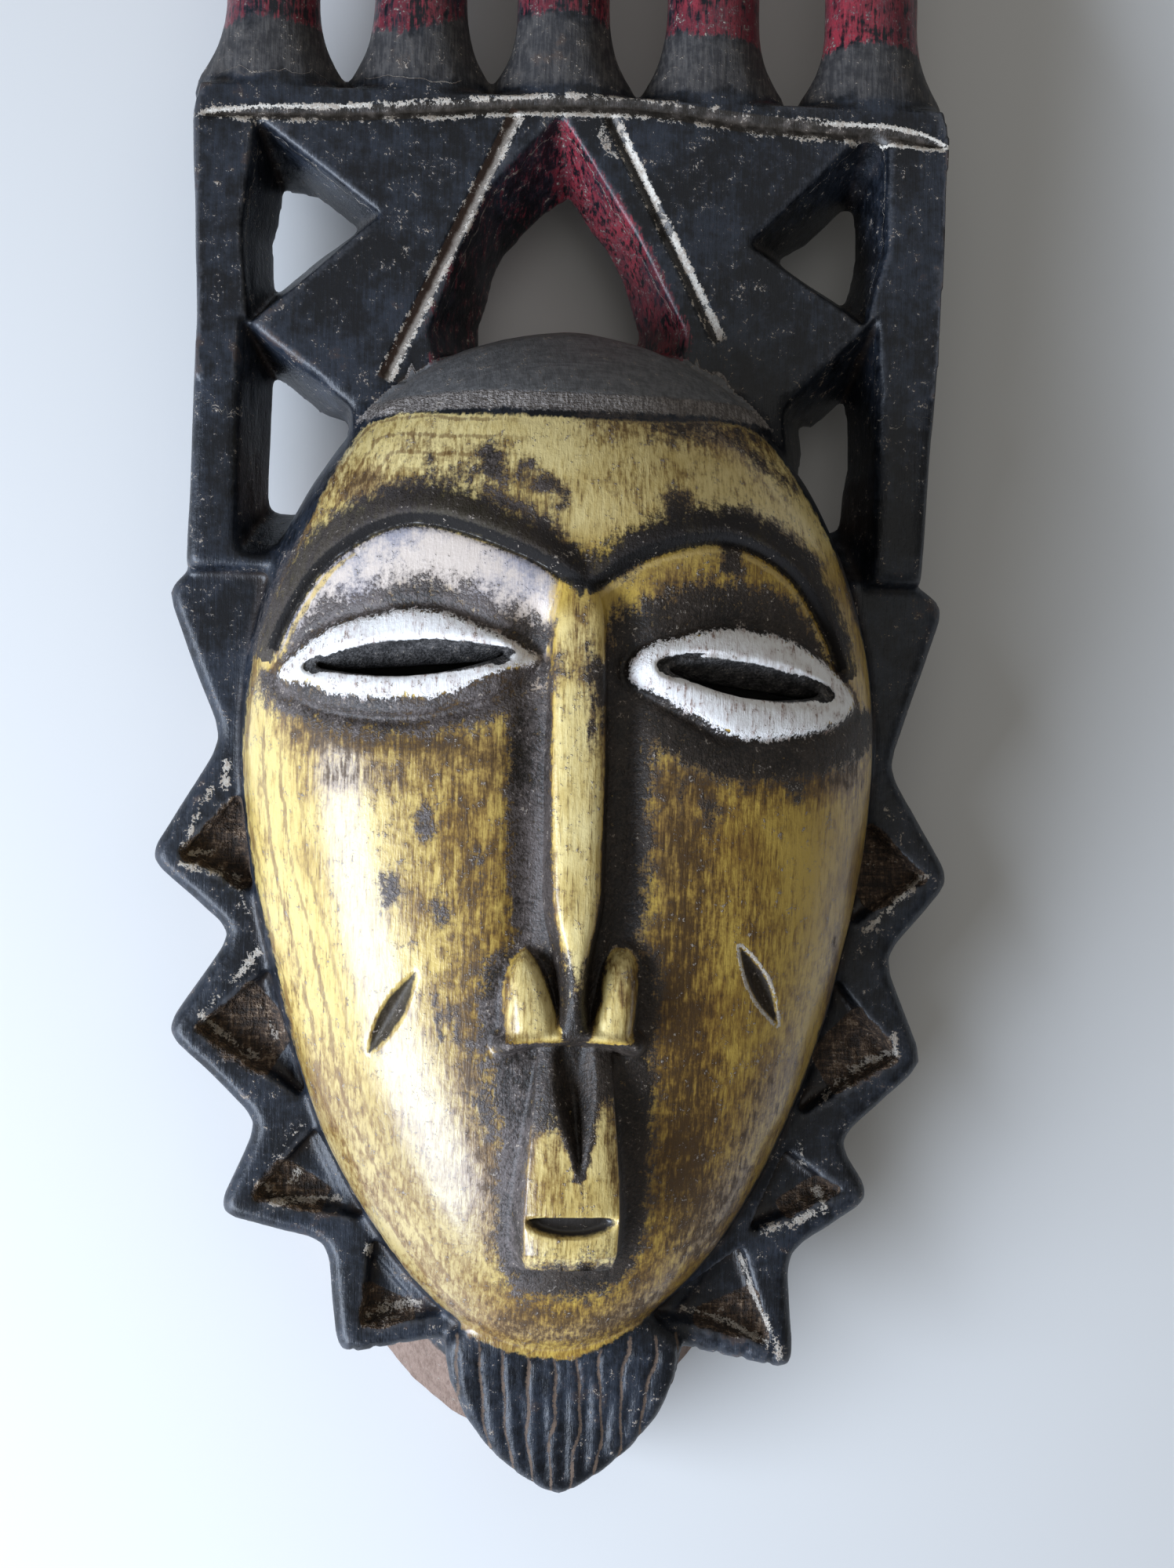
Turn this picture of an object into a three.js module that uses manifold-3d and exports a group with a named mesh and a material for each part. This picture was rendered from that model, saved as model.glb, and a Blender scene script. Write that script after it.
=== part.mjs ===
// A carved wooden face mask with an openwork crest, lying on its hollow back.
// One block of wood is one solid, so the whole mask is one node.
//
// Sizes are in millimetres. X runs to the right as the face is seen, Y toward
// the top of the mask and Z out of the face. The flat back rim lies at Z = 0.
// Points are given from the middle of the face, and the finished mask is
// centred on its own box at the end.
//
// How the real one is made: the carver hews the block, leaves the crest as a
// flat board and pierces it from the front, shapes the face as an egg-like
// dome, cuts the toothed border back to a ledge, then hollows the back until
// the wall is about a finger's breadth and slits the eyes through.

import * as THREE from 'three';
import { mergeVertices } from 'three/addons/utils/BufferGeometryUtils.js';
import Module from 'manifold-3d';

const wasm = await Module();
wasm.setup();

const TAU = Math.PI * 2;

// The face is an egg in plan, seen from the front, and a dome in section.
// The bends say how round each end of the egg is, round and full how soon
// the dome falls away and how steep it ends.
const FACE = {
  x: 0.3,
  y: 7,
  half: 73,
  up: 95.5,
  down: 138.5,
  upBend: 2.1,
  downBend: 1.6,
  edge: 34,
  rise: 46,
  round: 2.8,
  full: 0.58,
};
const DOME_GRID = { across: 28, along: 38, foot: 22, even: 0.45 };

// The shell behind the face widens toward the rim that lies on the ground.
const SHELL_FRONT = { x: 0.3, y: 0, half: 72, up: 101.5, down: 136, upBend: 2.1, downBend: 1.7 };
const SHELL_RIM = { x: 0.8, y: 0, half: 76, up: 104.5, down: 161, upBend: 2.1, downBend: 1.9 };
const SHELL = { top: 30, shoulder: 27, columns: 44 };

// The hollow follows both at the thickness of the wall.
const WALL = 9.5;
const HOLLOW = { columns: 36, rows: 8, ledge: 26, past: 3, reach: 0.97 };

// Soft hollows round the eyes and beside the nose.
const SOCKET = { half: 33, high: 25, up: 6, deep: 3.2, ease: 1.5 };
const CHANNEL = { out: 9.5, spread: 5, deep: 3, top: 34, bottom: -52, fade: 10 };

// Eyes: almond lids between two corners, and a slit cut through the wall.
const EYES = [
  { lid: [[-64.5, 21], [-7.5, 27]], slit: [[-57.2, 24.6], [-12.4, 27.8]] },
  { lid: [[12.3, 22.5], [62.6, 16.5]], slit: [[18, 25.2], [57.6, 20.4]] },
];
const LID = { half: 12, rise: 3.4, root: 5, rows: 10, columns: 10, plump: 0.85, round: 0.8 };
const SLIT = { half: 3.8, steps: 9, low: 30, high: 100 };

// Brows: a ridge above its lower edge, which is the sharp one. The section
// runs from that edge outward as shares of the width and the rise.
const BROWS = [
  [[2, 40.5], [-12.7, 48.9], [-34.4, 55.3], [-50.8, 48.7], [-60, 37.5], [-65.5, 25]],
  [[2.4, 40.5], [15.8, 49.1], [32.7, 52.6], [46.6, 47], [54.8, 37], [61.5, 23]],
];
const BROW = { wide: 9, rise: 2.6, root: 4, steps: 15, end: 0.12 };
const BROW_SECTION = [[0, 1], [0.16, 1.12], [0.5, 0.6], [1, -0.3]];

// Nose: a straight bar from the meeting of the brows, given down its ridge
// as height on the face, height of the ridge and share of the width.
const NOSE = { x: 0.6, topHalf: 5.6, footHalf: 9, foot: 66, edge: 1.6, flat: 0.5 };
const NOSE_RIDGE = [
  [43, 80.5, 0.75],
  [36, 82.5, 1],
  [4, 84.5, 1.12],
  [-24, 86, 1.05],
  [-43, 87, 0.8],
  [-51, 85.5, 0.6],
  [-54.5, 80, 0.5],
];

// Wings of the nose, given down as height on the face, share of the width
// and how far they lie below their highest point.
const WING = { out: 8.4, half: 5.2, rise: 83, round: 6, root: 68, columns: 8 };
const WING_ROWS = [
  [-34, 0.35, -8],
  [-38, 0.75, -3.2],
  [-43, 0.95, -1],
  [-49, 1.05, 0],
  [-54.4, 1.05, -0.4],
  [-56, 0.9, -4],
];

// Mouth: an upright block under the nose, given down as height on the face,
// half width and height of its front, with a pointed furrow and a slit.
const MOUTH = { x: 1.4, edge: 1.8, root: 48, spread: 0.8 };
const MOUTH_ROWS = [
  [-55, 7.6, 77],
  [-66, 8.4, 78.5],
  [-84, 9.8, 79],
  [-93, 10.2, 78],
  [-101, 9.9, 76],
  [-104.6, 9.2, 72.5],
];
const FURROW = { left: -5.8, right: 8.8, top: -56.6, surface: 78.6, deep: 4.8, over: 4 };
const FURROW_POINT = [2.8, -86.5];
const LIPS = { y: -94.6, z: 78.4, half: 9.9, high: 2.6, deep: 5 };

// Scars on the cheeks: lens-shaped cuts.
const SCARS = [
  { from: [-32.6, -40.6], to: [-42.6, -59.4] },
  { from: [37, -34.6], to: [47.4, -52.2] },
];
const SCAR = { half: 2.2, deep: 2.6, over: 0.3 };

// Hair: a raised band across the crown, above the hairline.
const HAIR = { line: 81.5, rise: 1.4, grow: 0.9, low: 28, side: 83, top: 120, front: 100 };

// Border: for each tooth its tip and the notch below it, on both sides.
const BORDER_LEFT = [
  [[-90.3, 42.5], [-76.8, 9]],
  [[-93.6, -18.6], [-73.4, -35.3]],
  [[-89, -58], [-67, -78.5]],
  [[-76.5, -99.5], [-51, -106]],
  [[-48.2, -132], [-24, -128]],
];
const BORDER_RIGHT = [
  [[90.6, 42.8], [77.6, 4.9]],
  [[93.4, -21.4], [77.4, -39.3]],
  [[87.4, -64], [67.2, -82.5]],
  [[75.6, -95.5], [55.6, -108.4]],
  [[57.6, -136], [27.4, -129]],
];
const SHOULDER = { left: [-84, 48.5], right: [83, 48.5] };
const BORDER = { back: 20, front: 34, bevel: 2.2, corner: 4.2, cornerShare: 0.3 };

// Pockets: the rim left round each, its slope and depth, and how far the
// pocket runs back along the tooth and draws in toward the face.
const POCKET = { rim: 7, slope: 1.6, sink: 5.5, over: 6, run: 0.86, draw: 0.1 };

// Beard: a pointed wedge below the chin with combed furrows. The rings go
// out over its front as share of the outline and height above the slope.
const BEARD = { x: 3.5, root: -129, up: 12, down: 37, half: 27.5, front: 39, drop: 10, crown: 0.8 };
const BEARD_FORM = { columns: 24, across: 1.45, along: 1.1, back: 9, shoulder: 14, draw: 0.93 };
const BEARD_RINGS = [[0.9, 0.4], [0.97, -0.6], [1, -3]];
const COMB = { count: 9, from: -19, to: 26, gather: 0.74, drift: 1, wide: 1.9, bow: 0.8, past: 0.5 };

// Crest: a board between two columns, pierced by tapering holes.
const CREST = { back: 18, front: 40, bevel: 1.4 };
const CREST_OUTLINE = [
  [83.5, 47],
  [86.7, 106],
  [87.9, 150],
  [86.2, 157],
  [-84, 157],
  [-85.4, 150],
  [-83.9, 104],
  [-85.4, 47],
];
const HOLE = { front: 37, back: 13, past: 6 };
const HOLES = [
  {
    front: [[-70.9, 147.6], [-43.2, 128.2], [-71.8, 102.9], [-73.4, 125]],
    back: [[-64.2, 135], [-49.6, 129.2], [-65.7, 116], [-66.2, 125]],
  },
  {
    front: [[-73.4, 103.2], [-50, 85], [-50, 66], [-66, 51.5], [-73.6, 51.5]],
    back: [[-65.4, 91.2], [-57.8, 86.4], [-50, 80], [-56, 66], [-65.6, 66]],
  },
  {
    front: [[68.6, 150.6], [73, 148], [73.2, 125], [68.6, 107.4], [42.2, 124.8]],
    back: [[66.6, 134.8], [68.7, 134], [68.9, 125], [67, 116.8], [53.8, 125.2]],
  },
  {
    front: [[71.4, 107.2], [72, 75], [71, 45], [64, 45], [52, 66], [50.4, 87.6]],
    back: [[67, 88.8], [67.6, 76], [66.2, 66], [56, 66], [52, 80], [59, 86.4]],
  },
  {
    front: [[-2, 150.6], [-17, 135], [-24, 120], [-30.4, 103], [-26, 88], [22, 88], [26, 103], [14, 127]],
    back: [[2.3, 135], [-8.4, 126], [-14, 118], [-16.6, 108], [-15, 98], [15, 98], [16.4, 107], [9.4, 126]],
  },
];

// Grooves cut in the crest, each from one end to the other.
const GROOVES = [
  { from: [-82.5, 149.4], to: [-15.8, 155] },
  { from: [-17.5, 155], to: [22, 155.2] },
  { from: [20, 155.2], to: [86, 149] },
  { from: [-12.4, 153.6], to: [-42.4, 92.2] },
  { from: [8.4, 153.6], to: [35.2, 102.2] },
];
const GROOVE = { wide: 4.5, lift: 1 };

// Posts: five round shafts that flare across the crest where they leave it.
// The flare goes up from the foot as height and what is added to the radius.
const POSTS = [-68.2, -34.4, -1.5, 33.4, 70.6];
const POST = { z: 29.2, radius: 11.1, foot: 155.5, end: 229, sides: 14 };
const POST_FLARE = [[0, 7], [4.5, 5.8], [7.5, 4], [11.5, 1.9], [15.5, 0.7], [20.5, 0]];
const POST_END = [[4, 0], [1.2, 1.6], [0, 5]];

const COLOURS = { mask: 0x5a4524 };

// Turn a closed three.js geometry into a solid with its faces outward.
function solid(geometry) {
  geometry.deleteAttribute('normal');
  geometry.deleteAttribute('uv');
  const merged = mergeVertices(geometry);
  const spots = merged.attributes.position;
  const corners = new Uint32Array(merged.index.array);
  const [a, b, c] = [new THREE.Vector3(), new THREE.Vector3(), new THREE.Vector3()];
  let volume = 0;
  for (let i = 0; i < corners.length; i += 3) {
    a.fromBufferAttribute(spots, corners[i]);
    b.fromBufferAttribute(spots, corners[i + 1]);
    c.fromBufferAttribute(spots, corners[i + 2]);
    volume += a.dot(b.cross(c));
  }
  if (volume < 0) {
    for (let i = 0; i < corners.length; i += 3) {
      [corners[i], corners[i + 1]] = [corners[i + 1], corners[i]];
    }
  }
  return new wasm.Manifold(new wasm.Mesh({
    numProp: 3,
    vertProperties: new Float32Array(spots.array),
    triVerts: corners,
  }));
}

// A closed skin: a ball whose rows of corners are put where place() says.
// The first and the last row are single points.
function skin(columns, rows, place) {
  const geometry = new THREE.SphereGeometry(1, columns, rows);
  const spots = geometry.attributes.position;
  for (let i = 0; i < spots.count; i += 1) {
    const row = Math.floor(i / (columns + 1));
    const column = (i % (columns + 1)) % columns;
    spots.setXYZ(i, ...place(row, column));
  }
  return solid(geometry);
}

// A skin through a list of rings, closed by a point at each end.
function loft(rings, first, last) {
  return skin(rings[0].length, rings.length + 1, (row, column) => {
    if (row === 0) {
      return first;
    }
    return row > rings.length ? last : rings[row - 1][column];
  });
}

// The middle of a ring of corners.
function middle(ring) {
  return ring[0].map((_, axis) => ring.reduce((sum, corner) => sum + corner[axis], 0) / ring.length);
}

// A block between two outlines with as many corners, carried past both.
function taper(front, zFront, back, zBack, past) {
  const ring = (z) => {
    const share = (z - zBack) / (zFront - zBack);
    return front.map((corner, i) => [
      back[i][0] + (corner[0] - back[i][0]) * share,
      back[i][1] + (corner[1] - back[i][1]) * share,
      z,
    ]);
  };
  const rings = [ring(zFront + past), ring(zBack - past)];
  return loft(rings, middle(rings[0]), middle(rings[1]));
}

// A plate with an outline, from one height to another, with worn edges.
function plate(outline, back, front, bevel) {
  const shape = new THREE.Shape(outline.map((corner) => new THREE.Vector2(...corner)));
  const geometry = new THREE.ExtrudeGeometry(shape, {
    depth: front - back - 2 * bevel,
    bevelEnabled: bevel > 0,
    bevelThickness: bevel,
    bevelSize: bevel,
    bevelOffset: -bevel,
    bevelSegments: 1,
  });
  geometry.translate(0, 0, back + bevel);
  return solid(geometry);
}

// A point of an egg at a share of its reach and a turn from the X axis.
function eggPoint(egg, reach, turn) {
  const across = Math.cos(turn) * reach;
  const along = Math.sin(turn) * reach;
  const y = along >= 0
    ? egg.up * along ** (2 / egg.upBend)
    : -egg.down * (-along) ** (2 / egg.downBend);
  return [egg.x + egg.half * across, egg.y + y];
}

// How far out a point lies in an egg: 0 in the middle, 1 on the outline.
function eggReach(egg, x, y) {
  const rise = y - egg.y;
  const along = rise >= 0 ? (rise / egg.up) ** egg.upBend : (-rise / egg.down) ** egg.downBend;
  return Math.sqrt(((x - egg.x) / egg.half) ** 2 + along);
}

// An egg made larger by the same amount all round, or smaller.
function grown(egg, by) {
  return { ...egg, half: egg.half + by, up: egg.up + by, down: egg.down + by };
}

// A window that is 1 between two heights and fades out past them.
function between(value, low, high, fade) {
  const { smoothstep } = THREE.MathUtils;
  return smoothstep(value, low - fade, low) * (1 - smoothstep(value, high, high + fade));
}

// Height of the dome without features.
function domeHeight(x, y) {
  const reach = Math.min(1, eggReach(FACE, x, y));
  return FACE.edge + FACE.rise * (1 - reach ** FACE.round) ** FACE.full;
}

// Height of the face with the hollows round the eyes and beside the nose.
function faceHeight(x, y) {
  let z = domeHeight(x, y);
  for (const eye of EYES) {
    const [cx, cy] = middle(eye.lid);
    const away = ((x - cx) / SOCKET.half) ** 2 + ((y - cy - SOCKET.up) / SOCKET.high) ** 2;
    z -= SOCKET.deep * Math.max(0, 1 - away) ** SOCKET.ease;
  }
  const off = (Math.abs(x - NOSE.x) - CHANNEL.out) / CHANNEL.spread;
  z -= CHANNEL.deep * Math.exp(-off * off) * between(y, CHANNEL.bottom, CHANNEL.top, CHANNEL.fade);
  return Math.max(z, FACE.edge);
}

// The face as a closed dome standing on a flat bottom: the top of a box is
// drawn from a square to a disc, so that its grid runs along the nose.
function dome(grow, lift, height) {
  const geometry = new THREE.BoxGeometry(2, 2, 2, DOME_GRID.across, DOME_GRID.along, 1);
  const spots = geometry.attributes.position;
  const gather = (t) => DOME_GRID.even * t + (1 - DOME_GRID.even) * Math.sin(t * TAU / 4);
  for (let i = 0; i < spots.count; i += 1) {
    const u = gather(spots.getX(i));
    const v = gather(spots.getY(i));
    const across = u * Math.sqrt(1 - v * v / 2);
    const along = v * Math.sqrt(1 - u * u / 2);
    const reach = Math.min(1, Math.hypot(across, along));
    const turn = Math.atan2(along, across);
    const front = spots.getZ(i) > 0;
    const z = front ? height(...eggPoint(FACE, reach, turn)) + lift : DOME_GRID.foot;
    spots.setXYZ(i, ...eggPoint(grown(FACE, grow), reach, turn), z);
  }
  return solid(geometry);
}

// The outline of an egg at one height, as a ring.
function eggRing(egg, z, columns, reach) {
  return Array.from({ length: columns }, (_, i) => [...eggPoint(egg, reach, (i / columns) * TAU), z]);
}

// The shell behind the face, down to the rim.
function backShell() {
  const rings = [
    eggRing(SHELL_FRONT, SHELL.top, SHELL.columns, 1),
    eggRing(SHELL_FRONT, SHELL.shoulder, SHELL.columns, 1),
    eggRing(SHELL_RIM, 0, SHELL.columns, 1),
  ];
  return loft(rings, [FACE.x, 0, SHELL.top], [FACE.x, 0, 0]);
}

// The hollow behind the face, open at the back.
function hollow() {
  const rings = [];
  for (let i = 1; i <= HOLLOW.rows; i += 1) {
    const reach = Math.sin((i / HOLLOW.rows) * HOLLOW.reach * TAU / 4);
    const ring = eggRing(grown(FACE, -WALL), 0, HOLLOW.columns, reach);
    const under = eggRing(FACE, 0, HOLLOW.columns, reach);
    rings.push(ring.map((corner, k) => [corner[0], corner[1], domeHeight(under[k][0], under[k][1]) - WALL]));
  }
  rings.push(eggRing(grown(SHELL_FRONT, -WALL), HOLLOW.ledge, HOLLOW.columns, 1));
  rings.push(eggRing(grown(SHELL_RIM, -WALL), 0, HOLLOW.columns, 1));
  rings.push(eggRing(grown(SHELL_RIM, -WALL), -HOLLOW.past, HOLLOW.columns, 1));
  return loft(rings, [FACE.x, FACE.y, FACE.edge + FACE.rise - WALL], [FACE.x, 0, -HOLLOW.past]);
}

// An outline with each corner cut by a short arc.
function softened(outline) {
  return outline.flatMap((corner, i) => {
    const toward = (end) => {
      const far = Math.hypot(end[0] - corner[0], end[1] - corner[1]);
      const share = Math.min(BORDER.corner / far, BORDER.cornerShare);
      return [corner[0] + (end[0] - corner[0]) * share, corner[1] + (end[1] - corner[1]) * share];
    };
    const a = toward(outline[(i + outline.length - 1) % outline.length]);
    const b = toward(outline[(i + 1) % outline.length]);
    return [a, middle([a, b, corner, corner]), b];
  });
}

// A pocket: the tooth's own triangle drawn in by the width of its rim and
// run back under the face.
function pocket(above, tip, below) {
  const home = [FACE.x, (above[1] + below[1]) / 2];
  const inner = (rim) => {
    const far = [above, below].map((end) => Math.hypot(end[0] - tip[0], end[1] - tip[1]));
    const ways = [above, below].map((end, i) => [0, 1].map((axis) => (end[axis] - tip[axis]) / far[i]));
    const [u, v] = ways;
    const sine = Math.abs(u[0] * v[1] - u[1] * v[0]);
    const apex = [tip[0] + (u[0] + v[0]) * rim / sine, tip[1] + (u[1] + v[1]) * rim / sine];
    const run = (way, length) => {
      const spot = [apex[0] + way[0] * length * POCKET.run, apex[1] + way[1] * length * POCKET.run];
      return [0, 1].map((axis) => spot[axis] + (home[axis] - spot[axis]) * POCKET.draw);
    };
    return [apex, run(u, far[0]), run(v, far[1])];
  };
  const mouth = inner(POCKET.rim - POCKET.slope);
  const floor = inner(POCKET.rim);
  const clear = taper(mouth, BORDER.front + POCKET.over, mouth, BORDER.front, 0);
  return taper(mouth, BORDER.front, floor, BORDER.front - POCKET.sink, 0).add(clear);
}

// The toothed border as a plate, with a sunken three-cornered pocket in
// every tooth but the topmost on each side.
function border() {
  const down = [SHOULDER.left, ...BORDER_LEFT.flat()];
  const up = [...BORDER_RIGHT.flat().reverse(), SHOULDER.right];
  const outline = [...down, ...up].reverse();
  let body = plate(softened(outline), BORDER.back, BORDER.front, BORDER.bevel);
  for (const side of [BORDER_LEFT, BORDER_RIGHT]) {
    for (let i = 1; i < side.length; i += 1) {
      body = body.subtract(pocket(side[i - 1][1], side[i][0], side[i][1]));
    }
  }
  return body;
}

// Height of the beard's front, which falls toward its point.
function beardFront(y) {
  return BEARD.front - BEARD.drop * Math.max(0, (BEARD.root - y) / BEARD.down);
}

// A ring of the beard's outline at a share of its size.
function beardRing(share, height) {
  return Array.from({ length: BEARD_FORM.columns }, (_, i) => {
    const turn = (i / BEARD_FORM.columns) * TAU;
    const across = Math.sign(Math.cos(turn)) * Math.abs(Math.cos(turn)) ** BEARD_FORM.across;
    const along = Math.abs(Math.sin(turn)) ** BEARD_FORM.along;
    const y = BEARD.root + (Math.sin(turn) < 0 ? -BEARD.down : BEARD.up) * along * share;
    return [BEARD.x + BEARD.half * across * share, y, height(y)];
  });
}

// The beard: its outline narrows to a point and its front falls toward it.
function beard() {
  const rings = BEARD_RINGS.map(([share, lift]) => beardRing(share, (y) => beardFront(y) + lift));
  rings.push(beardRing(BEARD_FORM.draw, () => BEARD_FORM.shoulder));
  rings.push(beardRing(BEARD_FORM.draw, () => BEARD_FORM.back));
  const front = [BEARD.x, BEARD.root, BEARD.front + BEARD.crown];
  let body = loft(rings, front, [BEARD.x, BEARD.root, BEARD_FORM.back]);
  for (let i = 0; i < COMB.count; i += 1) {
    const top = COMB.from + (COMB.to - COMB.from) * i / (COMB.count - 1);
    const low = BEARD.x + (top - BEARD.x) * COMB.gather + COMB.drift;
    const share = (low - BEARD.x) / BEARD.half;
    const end = BEARD.root - BEARD.down * (1 - share * share) ** COMB.bow + COMB.past;
    const from = [top, BEARD.root, BEARD.front + BEARD.crown];
    body = body.subtract(groove(from, [low, end, beardFront(end) + BEARD.crown / 2], COMB.wide));
  }
  return body;
}

// A long groove with a V section between two points.
function groove(from, to, wide) {
  const [a, b] = [new THREE.Vector3(...from), new THREE.Vector3(...to)];
  const geometry = new THREE.BoxGeometry(wide, a.distanceTo(b), wide);
  geometry.rotateY(TAU / 8);
  const way = b.clone().sub(a).normalize();
  geometry.applyQuaternion(new THREE.Quaternion().setFromUnitVectors(new THREE.Vector3(0, 1, 0), way));
  geometry.translate(...a.add(b).multiplyScalar(0.5));
  return solid(geometry);
}

// The crest board with its holes and grooves.
function crest() {
  let body = plate(CREST_OUTLINE, CREST.back, CREST.front, CREST.bevel);
  for (const hole of HOLES) {
    body = body.subtract(taper(hole.front, HOLE.front, hole.back, HOLE.back, HOLE.past));
  }
  for (const cut of GROOVES) {
    const z = CREST.front + GROOVE.lift;
    body = body.subtract(groove([...cut.from, z], [...cut.to, z], GROOVE.wide));
  }
  return body;
}

// A post turned about its own axis, flared at its foot across the crest but
// no thicker than the board.
function post(x) {
  const profile = [
    [0, POST.foot],
    ...POST_FLARE.map(([up, out]) => [POST.radius + out, POST.foot + up]),
    ...POST_END.map(([down, less]) => [POST.radius - less, POST.end - down]),
    [0, POST.end],
  ].map((spot) => new THREE.Vector2(...spot));
  const geometry = new THREE.LatheGeometry(profile, POST.sides);
  const spots = geometry.attributes.position;
  for (let i = 0; i < spots.count; i += 1) {
    const wide = Math.hypot(spots.getX(i), spots.getZ(i));
    const ease = wide > POST.radius ? POST.radius / wide : 1;
    spots.setXYZ(i, x + spots.getX(i), spots.getY(i), POST.z + spots.getZ(i) * ease);
  }
  return solid(geometry);
}

// A brow: a ridge with a steep lower side and a long slope above it.
function brow(line) {
  const curve = new THREE.CatmullRomCurve3(line.map((spot) => new THREE.Vector3(...spot, 0)));
  const below = middle([line[0], line[line.length - 1]]);
  const rings = [];
  for (let i = 0; i < BROW.steps; i += 1) {
    const t = (i + 0.5) / BROW.steps;
    const spot = curve.getPointAt(t);
    const way = curve.getTangentAt(t);
    const side = new THREE.Vector3(-way.y, way.x, 0);
    if (side.dot(new THREE.Vector3(spot.x - below[0], spot.y - below[1], 0)) < 0) {
      side.negate();
    }
    const swell = Math.sqrt(Math.sin(Math.PI * (BROW.end + (1 - 2 * BROW.end) * t)));
    const corner = (out, lift) => {
      const x = spot.x + side.x * out * BROW.wide * swell;
      const y = spot.y + side.y * out * BROW.wide * swell;
      return [x, y, domeHeight(x, y) + lift];
    };
    const front = BROW_SECTION.map(([out, lift]) => corner(out, lift * BROW.rise * swell));
    rings.push([corner(0, -BROW.root), ...front, corner(1, -BROW.root)]);
  }
  return loft(rings, middle(rings[0]), middle(rings[rings.length - 1]));
}

// Points of an almond between two corners: place(share) along it and out
// to the side.
function almond([from, to]) {
  const far = Math.hypot(to[0] - from[0], to[1] - from[1]);
  const [ux, uy] = [(to[0] - from[0]) / far, (to[1] - from[1]) / far];
  return (share, out) => [from[0] + ux * far * share - uy * out, from[1] + uy * far * share + ux * out];
}

// An eyelid: a low almond that lies on the face.
function lid(corners) {
  const place = almond(corners);
  return skin(LID.columns, LID.rows, (row, column) => {
    const swell = Math.sin(Math.PI * row / LID.rows) ** LID.plump;
    const turn = (column / LID.columns) * TAU;
    const [x, y] = place(row / LID.rows, Math.cos(turn) * LID.half * swell);
    const sine = Math.sin(turn);
    const lift = sine >= 0 ? LID.rise * sine ** LID.round : LID.root * sine;
    return [x, y, faceHeight(x, y) + lift * swell ** LID.plump];
  });
}

// A slit: an almond outline cut straight through.
function slit(corners) {
  const place = almond(corners);
  const edge = (share, side) => place(share, SLIT.half * side * Math.sin(Math.PI * share));
  const steps = Array.from({ length: SLIT.steps }, (_, i) => i / SLIT.steps);
  const outline = [...steps.map((t) => edge(t, -1)), ...steps.map((t) => edge(1 - t, 1))];
  return plate(outline, SLIT.low, SLIT.high, 0);
}

// A bar with a flat front, two worn edges and spreading sides.
function barRing(x, y, half, foot, front, edge, low) {
  const section = [[foot, low], [half, front - edge], [half - edge, front]];
  const mirrored = section.map(([out, z]) => [-out, z]).reverse();
  return [...section, ...mirrored].map(([out, z]) => [x + out, y, z]);
}

// The bar of the nose, lofted down the face.
function noseBar() {
  const rings = NOSE_RIDGE.map(([y, z, wide]) => {
    const half = NOSE.topHalf * wide;
    const edge = Math.min(NOSE.edge, half * NOSE.flat);
    return barRing(NOSE.x, y, half, NOSE.footHalf * wide, z, edge, NOSE.foot);
  });
  return loft(rings, middle(rings[0]), middle(rings[rings.length - 1]));
}

// A wing of the nose: a rounded wedge, full at the bottom.
function noseWing(side) {
  const x = NOSE.x + side * WING.out;
  const rings = WING_ROWS.map(([y, wide, drop]) => Array.from({ length: WING.columns }, (_, i) => {
    const turn = (i / WING.columns) * TAU;
    const high = Math.max(0, Math.sin(turn));
    const z = Math.sin(turn) > 0 ? WING.rise + drop - WING.round * (1 - high) : WING.root;
    return [x + Math.cos(turn) * WING.half * wide, y, z];
  }));
  return loft(rings, middle(rings[0]), middle(rings[rings.length - 1]));
}

// The mouth block with its slit.
function mouth() {
  const { x, edge, root, spread } = MOUTH;
  const rings = MOUTH_ROWS.map(([y, half, z]) => barRing(x, y, half, half + spread, z, edge, root));
  const gap = new THREE.SphereGeometry(1, 14, 8);
  gap.scale(LIPS.half, LIPS.high, LIPS.deep);
  gap.translate(x, LIPS.y, LIPS.z);
  return loft(rings, middle(rings[0]), middle(rings[rings.length - 1])).subtract(solid(gap));
}

// The furrow under the nose: a V, wide at the top, a point at the bottom.
function furrow() {
  const { left, right, top, surface, deep, over } = FURROW;
  const flare = (right - left) / 2 / deep * over;
  const ring = (from, to, y, bottom) => [
    [from - flare, y, surface + over],
    [to + flare, y, surface + over],
    [(from + to) / 2, y, bottom],
  ];
  const [x, y] = FURROW_POINT;
  const rings = [ring(left, right, top, surface - deep), ring(x, x, y, surface)];
  return loft(rings, middle(rings[0]), middle(rings[1]));
}

// A scar: a lens-shaped cut lying on the cheek.
function scar({ from, to }) {
  const far = Math.hypot(to[0] - from[0], to[1] - from[1]);
  const [cx, cy] = middle([from, to]);
  const geometry = new THREE.SphereGeometry(1, 10, 8);
  geometry.scale(far / 2, SCAR.half, SCAR.deep);
  geometry.rotateZ(Math.atan2(to[1] - from[1], to[0] - from[0]));
  const spots = geometry.attributes.position;
  for (let i = 0; i < spots.count; i += 1) {
    const x = cx + spots.getX(i);
    const y = cy + spots.getY(i);
    spots.setXYZ(i, x, y, faceHeight(x, y) + spots.getZ(i) + SCAR.over);
  }
  return solid(geometry);
}

// The hair band: the dome lifted a little above the hairline.
function hairBand() {
  const { line, side, top, low, front } = HAIR;
  const keep = plate([[-side, line], [side, line], [side, top], [-side, top]], low, front, 0);
  return dome(HAIR.grow, HAIR.rise, domeHeight).intersect(keep);
}

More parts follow.
